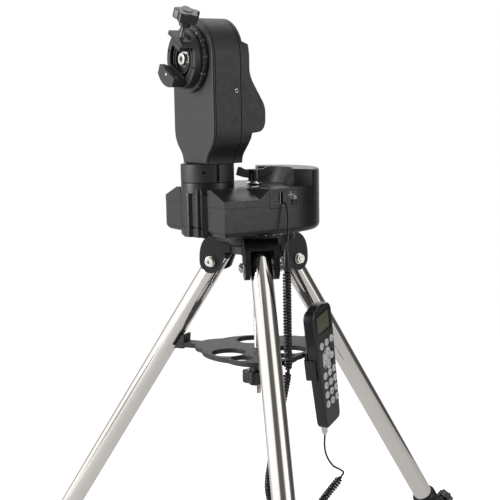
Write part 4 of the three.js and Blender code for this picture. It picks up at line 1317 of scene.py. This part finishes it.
def saddle_scale():
    """Marks round the saddle's rim at every ten degrees, longer at every thirty, with numbers."""
    marks = []
    for i in range(SCALE_MARKS):
        long = i % 3 == 0
        half = 0.3 if long else 0.2
        face, rim = SADDLE_RIM_FACE, SADDLE_RIM
        face_mark = block(face - 0.12, face + 0.2, -half, half, 44.6 - (1.8 if long else 0.6), 46.0)
        rim_mark = block(-106.8, -103.6 if long else -105.2, -half, half, rim - 0.2, rim + 0.1)
        turn = turned_by(tau * i / SCALE_MARKS, "X")
        marks += [placed(mark, turn) for mark in (face_mark, rim_mark)]
    finish(grouped(*marks), "saddle_scale_marks", "saddle", INK_GREY, SADDLE_AXES)
    numbers = []
    across_rim = Matrix(((0, 1, 0, -104.2), (-1, 0, 0, 0), (0, 0, 1, SADDLE_RIM - 0.15), (0, 0, 0, 1)))
    for degrees in range(0, 360, 30):
        text = number_shape(str(min(degrees, 360 - degrees)), 2.6, 0.3)
        numbers.append(placed(text, turned_by(radians(degrees), "X"), across_rim))
    finish(grouped(*numbers), "saddle_scale_numbers", "saddle", INK_GREY, SADDLE_AXES)


def number_shape(text, height, depth):
    """Raised digits, centred on the origin in the XY plane."""
    curve = bpy.data.curves.new("digits", "FONT")
    curve.body = text
    curve.size = height * 1.35
    curve.align_x = "CENTER"
    curve.align_y = "CENTER"
    curve.extrude = depth / 2
    curve.resolution_u = 3
    written = added("digits", curve)
    bpy.context.view_layer.update()
    graph = bpy.context.evaluated_depsgraph_get()
    mesh = bpy.data.meshes.new_from_object(written.evaluated_get(graph))
    bpy.data.objects.remove(written)
    return edit(added("shape", mesh), lambda bm: bmesh.ops.remove_doubles(bm, verts=bm.verts, dist=1e-4))


def saddle_bolt():
    head = rod_x(9, -118.7, -112.8, 64, ease=0.8)
    washer = rod_x(11.8, -113.3, -112.3, 64, ease=0.3)
    shank = rod_x(6, -113, -79, 48)
    socket = placed(prism(regular(6, 4.9), -119.5, -115), ALONG_X)
    bolt = cut(join(head, washer, shank), socket)
    finish(bolt, "saddle_centre_bolt", "saddle", BRIGHT_STEEL, SADDLE_AXES, "saddle_bolt")


def saddle_screws():
    """Two small screws in the rim, and the end of a pin in the lower jaw."""
    screws = [
        placed(
            rod_x(1.8, SADDLE_RIM_FACE - 0.8, SADDLE_RIM_FACE + 1, 32, ease=0.3),
            turned_by(radians(turn), "X"),
            moved_by(0, 43.2),
        )
        for turn in (100.5, 180.5)
    ]
    pin = placed(rod_x(2.1, JAW_FACE - 0.4, JAW_FACE + 2, 32, ease=0.3), moved_by(0, -1.1, -23))
    finish(grouped(*screws, pin), "saddle_screws", "saddle", BRIGHT_STEEL, SADDLE_AXES)


def clamp_pad():
    """The pad that presses on the dovetail bar, with the threaded screw that drives it."""
    pad = eased(block(-136, -122.5, -19, 9, 20, 28), 1.2, 3)
    finish(pad, "clamp_pad_block", "clamp_pad", PAINT_BLACK, SADDLE_AXES, "clamp_pad")
    root, crest, start, end = 2.35, 2.9, 27, 52
    thread = [(0, start)]
    for z in range(start, end):
        thread += [(root, z), (crest, z + 0.5)]
    screw = placed(lathe([*thread, (root, end), (0, end)], 40), CLAMP_SCREW)
    finish(screw, "clamp_screw", "clamp_pad", DARK_STEEL, SADDLE_AXES)


def clamp_knob():
    grip = eased(prism(lobed(5, 19, 5), 61, 75), 1.8, 4)
    stem = rod(8, 52.5, 63, 64, ease=0.6)
    cap = rod(8, 72, 76, 64, 7, ease=0.9)
    knob = cut(join(grip, stem, cap), rod(3.2, 40, 60, 32))
    finish(knob, "clamp_grip", "clamp_knob", KNOB_BLACK, SADDLE_AXES @ CLAMP_SCREW, "clamp_knob")


# ---------- hand controller: upright in its own axes, with its keys facing +X ----------


def handset_axes():
    """Axes from the keys' and the holder's directions, centred on the two half shells."""
    out = -joint_axis("keypad_press")
    up = joint_axis("handset_lift")
    across = up.cross(out)
    axes = Matrix((out, across, up)).transposed()
    front_low, front_high = span("handset_front", axes)
    back_low, back_high = span("handset_back", axes)
    middle = (Vector(map(min, front_low, back_low)) + Vector(map(max, front_high, back_high))) / 2
    made = axes.to_4x4()
    made.translation = axes @ middle
    return made


HANDSET_AXES = handset_axes()
HANDSET_HALF = (9, 30, 97)
# Each key's place across, its place up and its mark. A key without a mark has a dot.
KEYS = [(y, 36, "") for y in (-14, 2, 18)]
for row, marks in ((-12.5, "123"), (-28, "456"), (-43.5, "789"), (-59, ("", "0", ""))):
    KEYS += [(y, row, mark) for y, mark in zip((-13, 2, 17), marks)]
KEY_RADIUS = 5.6
KEY_HOLE = 6
SHELL_EASE = 3.2
ARROWS = [(0, 10), (-10, 0), (10, 0), (0, -10)]
PAD_CENTRE = (2, 11)


def handset_outline(inset=0.0):
    """The controller seen from its keys: wide at the display, waisted and narrower at the foot."""
    half, tall = HANDSET_HALF[1] - inset, HANDSET_HALF[2] - inset
    waist, heel, crown = half - 2, half - 6, tall - 4
    right = [(heel - 8, -tall)]
    right += bezier([(heel - 8, -tall), (heel, -tall), (heel, -tall + 12)], 6)
    right += bezier([(heel, -tall + 12), (waist + 0.4, 12), (waist + 0.2, 28), (half, 46)], 10)
    right += [(half, crown - 13)]
    right += bezier([(half, crown - 13), (half, crown - 1), (half - 14, crown)], 8)
    right += bezier([(half - 14, crown), (0, tall + 4), (14 - half, crown)], 12)[:6]
    return right + mirrored(right[:-1])


def handset_half(side, ease):
    """One half shell: side is 1 for the front and -1 for the back."""
    deep = HANDSET_HALF[0]
    levels = [(handset_outline(), 0.2)]
    for a in quarter(6):
        levels.append((handset_outline(ease * (1 - cos(a))), deep - ease * (1 - sin(a))))
    shell = placed(lofted(levels), YZ_TO_X)
    room = prism_x(handset_outline(3), -1, deep - 2)
    if side < 0:
        shell, room = (placed(half, Matrix.Scale(-1, 4, (1, 0, 0))) for half in (shell, room))
    return cut(shell, room)


def petal():
    """A navigation key: a rounded three-cornered shape that leaves a round gap in the middle."""
    inner = bezier([(-5.2, -0.4), (-2.6, -4.2), (0, -4.6)], 5)
    inner += bezier([(0, -4.6), (2.6, -4.2), (5.2, -0.4)], 5)[:-1]
    return [*arc(0, 1.5, 5.6, -20, 200, 16), *inner]


def handset():
    """Two half shells, with holes for the keys and a framed display behind its window."""
    face = HANDSET_HALF[0]
    window = block(face - 6, 20, -21, 21, 54, 84)
    key_holes = [placed(rod_x(KEY_HOLE, 3, 20, 48), moved_by(0, y, z)) for y, z, _ in KEYS]
    pad_hole = placed(rod_x(17.6, 3, 20, 64), moved_by(0, *PAD_CENTRE))
    front = cut(handset_half(1, SHELL_EASE), window, pad_hole, *key_holes)
    finish(front, "handset_front_shell", "handset", KNOB_BLACK, HANDSET_AXES, "handset_front")
    heel = eased(block(-9, -2.2, -16, 16, -96.6, -82), 1.2)
    back = join(handset_half(-1, SHELL_EASE), heel)
    finish(back, "handset_back_shell", "handset", KNOB_BLACK, HANDSET_AXES, "handset_back")
    opening = block(0, 20, -19.6, 19.6, 55.5, 82.5)
    rim = cut(block(face - 0.9, face + 0.35, -24.6, 24.6, 50.5, 87), opening)
    finish(eased(rim, 0.3, 2), "handset_bezel", "handset", BEZEL, HANDSET_AXES)
    glass = eased(block(face - 1.9, face - 0.8, -20.7, 20.7, 54.3, 83.7), 0.2, 2)
    finish(glass, "handset_display", "handset", OLIVE_DISPLAY, HANDSET_AXES, "handset_window")


def keypad():
    """One rubber mat with its keys standing on it, and a digit, dot or arrow on each."""
    face = HANDSET_HALF[0]
    foot, top = face - 4, face + 1.5
    keys, marks = [block(face - 5.5, face - 3.6, -19, 21, -64, 42)], []
    for y, z, mark in KEYS:
        keys.append(placed(rod_x(KEY_RADIUS, foot, top, 48, ease=0.9), moved_by(0, y, z)))
        if mark:
            marks.append(placed(number_shape(mark, 4.6, 0.2), moved_by(top, y, z), YZ_TO_X))
        else:
            marks.append(placed(rod_x(1.1, top - 0.1, top + 0.1, 20), moved_by(0, y, z)))
    for dy, dz in ARROWS:
        place = moved_by(0, PAD_CENTRE[0] + dy, PAD_CENTRE[1] + dz) @ turned_by(atan2(dz, dy) - pi / 2, "X")
        keys.append(placed(eased(prism_x(petal(), foot, top), 0.8), place))
        arrow = prism_x([(-1.8, -0.4), (1.8, -0.4), (0, 2.4)], top - 0.1, top + 0.1)
        marks.append(placed(arrow, place))
    finish(join(*keys), "handset_keys", "keypad", KEY_GREY, HANDSET_AXES, "handset_keypad")
    finish(grouped(*marks), "handset_key_marks", "keypad", INK_DARK, HANDSET_AXES)


def handset_holder():
    """The cradle on the tray's rim that the hand controller stands in."""
    back = -HANDSET_HALF[0] - GAP
    half = HANDSET_HALF[1] - 2
    plate = block(back - 5, back, -half, half, -16, 28)
    sides = block(back - 5, back + 13, -half - 2, half + 2, -14, 18)
    room = prism_x(handset_outline(-0.6), back, 30)
    holder = eased(cut(join(plate, sides), room), 0.9, 3)
    finish(holder, "handset_cradle", "tray", KNOB_BLACK, HANDSET_AXES, "handset_holder")


HANDSET_PLUG = moved_by(-3, -12, 0)


def handset_plug():
    end = -HANDSET_HALF[2]
    collar = rod(4.8, end - 11, end - 0.3, 40, ease=0.5)
    sleeve = rod(3.1, end - 15, end - 10.5, 32, ease=0.4)
    finish(placed(join(collar, sleeve), HANDSET_PLUG), "handset_plug", "handset", BRIGHT_STEEL, HANDSET_AXES)


# ---------- coiled cord ----------

CORD = {"wire": 2.05, "coil": 4.35, "pitch": 4.4, "lead": 1.5}
COIL_X, COIL_Y = (span("cable_coil")[0].xy + span("cable_coil")[1].xy) / 2
COIL_TOP, COIL_END = 204, 56
CORD_LEAD = [
    (-6.4, -90.6, 298), (-6.0, -96, 283), (-9, -100.5, 252), (COIL_X, COIL_Y, 232), (COIL_X, COIL_Y, 200),
]
CORD_LOOP = [
    (COIL_X, COIL_Y, COIL_END), (-36, -94, -62), (-38, -86, -127), (-4, -78, -192),
    (40, -69, -196), (74, -64, -168), (94, -64, -151), (109, -64, -138.5),
]
CORD_TAIL = [
    CORD_LOOP[-1], (114, -64, -132), (106, -64, -125), (94, -64, -117), (83, -64, -101), (78, -64.6, -84),
]


def wound(points, steps):
    """The coiled cord along a smooth curve through the points."""
    spine = smooth_path(points, steps)
    return swept(coiled(spine, CORD["coil"], CORD["pitch"]), CORD["wire"], 8)


def straight(points, step):
    """The uncoiled cord along a smooth curve through the points."""
    return swept(even(smooth_path(points, 12), step), CORD["lead"])


def hung(obj, name, node_name):
    """A finished cord in place of its CAD node, running from one body to the next."""
    dressed(obj, name, CORD_BLACK)
    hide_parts(node_name)
    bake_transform(obj)


def cords():
    """The lead from the panel, the hanging coil and the loop back up to the hand controller."""
    lead = straight(CORD_LEAD, 1.5)
    boot = [(1.9, 238), (2.6, 235), (4.4, 229), (5.6, 214), (5.8, 206), (5.2, 203)]
    boot = placed(lathe([(0, 238), *boot, (0, 203)], 32), moved_by(COIL_X, COIL_Y))
    upper = grouped(lead, boot)
    hung(upper, "cord_lead", "cable_upper")
    coil = wound([(COIL_X, COIL_Y, z) for z in (COIL_TOP, 160, 110, COIL_END)], 12)
    hung(coil, "cord_coil", "cable_coil")
    plug = (HANDSET_AXES @ HANDSET_PLUG) @ Vector((0, 0, -HANDSET_HALF[2] - 14))
    lower = grouped(wound(CORD_LOOP, 14), straight([*CORD_TAIL, tuple(plug)], 1.2))
    hung(lower, "cord_loop", "cable_lower")


# ---------- inner parts that keep their CAD shape ----------


def inner_parts():
    for axis in ("azimuth", "altitude"):
        for part in ("shaft", "motor", "worm", "worm_wheel"):
            mesh = frame["nodes"][f"{axis}_{part}"].data
            mesh.materials.clear()
            mesh.materials.append(BRASS if part == "worm_wheel" else BRIGHT_STEEL)


# ---------- stage ----------

VIEW_FROM = Vector((-0.87206, -1.36166, 0.4483))
VIEW_TURN = radians(-32.35)
VIEW_DOWN = radians(8.05)
VIEW_ROLL = radians(-1.03)
LENS = 78.46
SENSOR = 36


def camera():
    ahead = Vector((-sin(VIEW_TURN) * cos(VIEW_DOWN), cos(VIEW_TURN) * cos(VIEW_DOWN), -sin(VIEW_DOWN)))
    right = ahead.cross(Vector((0, 0, 1))).normalized()
    up = right.cross(ahead)
    side = cos(VIEW_ROLL) * right + sin(VIEW_ROLL) * up
    top = side.cross(ahead)
    data = bpy.data.cameras.new("camera")
    data.lens = LENS
    data.sensor_width = SENSOR
    data.clip_end = 100
    obj = added("camera", data)
    obj.matrix_world = moved_by(*VIEW_FROM) @ Matrix((side, top, -ahead)).transposed().to_4x4()
    bpy.context.scene.camera = obj


def lamp(name, place, aim, size, power):
    data = bpy.data.lights.new(name, "AREA")
    data.shape = "RECTANGLE"
    data.size, data.size_y = size
    data.energy = power
    obj = added(name, data)
    obj.location = place
    obj.rotation_euler = (Vector(aim) - Vector(place)).to_track_quat("-Z", "Y").to_euler()


# How bright the room looks in polished metal, by the angle round the mount from the camera: (degrees, grey).
ROOM_BANDS = [
    (-180, 1.20), (-160, 1.10), (-147, 0.35), (-134, 0.30), (-125, 1.00), (-108, 1.30),
    (-84, 1.30), (-80, 0.40), (-68, 0.40), (-64, 1.30), (-46, 1.30), (-36, 0.20), (-22, 0.13),
    (20, 0.13), (32, 0.55), (40, 1.30), (78, 1.30), (88, 0.16), (115, 0.06), (135, 0.12),
    (150, 0.50), (165, 1.10), (180, 1.20),
]
ROOM_HIGH = (0.55, 0.55, 0.55)
AMBIENT = (0.36, 0.36, 0.37)
FLOOR_RADIUS = 2.3
FLOOR_DROP = 0.0004
FLOOR_LIT = (0.45, 0.45, 0.45)
FLOOR_IN_TUBES = (0.235, 0.222, 0.212)
FLOOR_GLOW = (0.55, 0.55, 0.55)


def room():
    """White to the eye and even as light, but banded light and dark in reflections."""
    world = bpy.data.worlds.new("room")
    bpy.context.scene.world = world
    world.use_nodes = True
    tree = world.node_tree
    tree.nodes.clear()
    direction = tree.nodes.new("ShaderNodeTexCoord").outputs["Generated"]
    parts = node(tree, "ShaderNodeSeparateXYZ", Vector=direction)
    turn = maths(tree, "ARCTAN2", parts.outputs["Y"], parts.outputs["X"])
    shifted = maths(tree, "SUBTRACT", turn, atan2(VIEW_FROM.y, VIEW_FROM.x) + pi)
    wrapped = maths(tree, "FRACT", maths(tree, "DIVIDE", shifted, tau))
    ramp = node(tree, "ShaderNodeValToRGB", i0=wrapped)
    ramp.color_ramp.interpolation = "LINEAR"
    stops = ramp.color_ramp.elements
    stops[0].position, stops[1].position = 0, 1
    for angle, _ in ROOM_BANDS[1:-1]:
        stops.new(angle / 360 + 0.5)
    for stop, (_, grey) in zip(stops, ROOM_BANDS):
        stop.color = (grey, grey * 0.985, grey * 0.96, 1)
    high = node(tree, "ShaderNodeMapRange", Value=parts.outputs["Z"], i1=0.80, i2=0.92, i3=0.0, i4=1.0)
    banded = mixed(tree, high.outputs["Result"], ramp.outputs["Color"], ROOM_HIGH)
    ray = tree.nodes.new("ShaderNodeLightPath")
    glossy = mixed(tree, ray.outputs["Is Glossy Ray"], AMBIENT, banded)
    seen = mixed(tree, ray.outputs["Is Camera Ray"], glossy, (1.0, 1.0, 1.0))
    shine = node(tree, "ShaderNodeBackground", Color=seen, Strength=1.0)
    output = tree.nodes.new("ShaderNodeOutputWorld")
    tree.links.new(shine.outputs[0], output.inputs["Surface"])


def floor():
    """A pale round floor: white to the eye, and a warm grey in the tubes."""
    rim = [(x, y, 0) for x, y in regular(96, FLOOR_RADIUS)]
    mesh = bpy.data.meshes.new("floor")
    mesh.from_pydata(rim, [], [list(range(len(rim)))])
    obj = added("floor", mesh)
    obj.location.z = CAD_BOX[0].z - FLOOR_DROP
    material, tree, shader, place = blank("pale_floor")
    ray = tree.nodes.new("ShaderNodeLightPath")
    seen, reflected = ray.outputs["Is Camera Ray"], ray.outputs["Is Glossy Ray"]
    tone = mixed(tree, noise(tree, place, 400, 2.0), (0.93, 0.93, 0.93), (0.95, 0.95, 0.95))
    tone = mixed(tree, seen, FLOOR_LIT, tone)
    glow = mixed(tree, seen, FLOOR_IN_TUBES, FLOOR_GLOW)
    lit = maths(tree, "MAXIMUM", seen, reflected)
    feed(tree, shader, Base_Color=tone, Roughness=0.9, Specular_IOR_Level=0.0)
    feed(tree, shader, Emission_Color=glow, Emission_Strength=lit)
    mesh.materials.append(material)


def studio():
    """A soft light overhead and to the left, as in the photograph, with weak ones to fill the front."""
    lamp("overhead", (0.2, 0.5, 2.2), (0, 0, 0.3), (1.8, 1.8), 14)
    lamp("left_softbox", (-2.1, 0.8, 0.8), (0, 0, 0.35), (1.0, 1.4), 54)
    lamp("front_fill", (-0.4, -2.6, 1.2), (0, 0, 0.35), (1.6, 1.0), 3)
    lamp("right_strip", (0.9, -1.8, 0.7), (0, 0, 0.2), (0.3, 1.4), 6)
    bpy.context.scene.view_settings.view_transform = "Standard"


# ---------- the whole ----------

for build in (
    tripod_head, azimuth_dial, centre_rod, legs, accessory_tray, tray_knob, lower_shell, deck,
    battery_cover, battery_cells, end_block, control_panel, power_switch, bubble_level, wing_knob,
    arm_front_cover, arm_body, arm_rear_cover, arm_collar, saddle_body, saddle_scale, saddle_bolt,
    saddle_screws, clamp_pad, clamp_knob, handset, keypad, handset_holder, handset_plug, cords,
    inner_parts, camera, room, floor, studio,
):
    build()
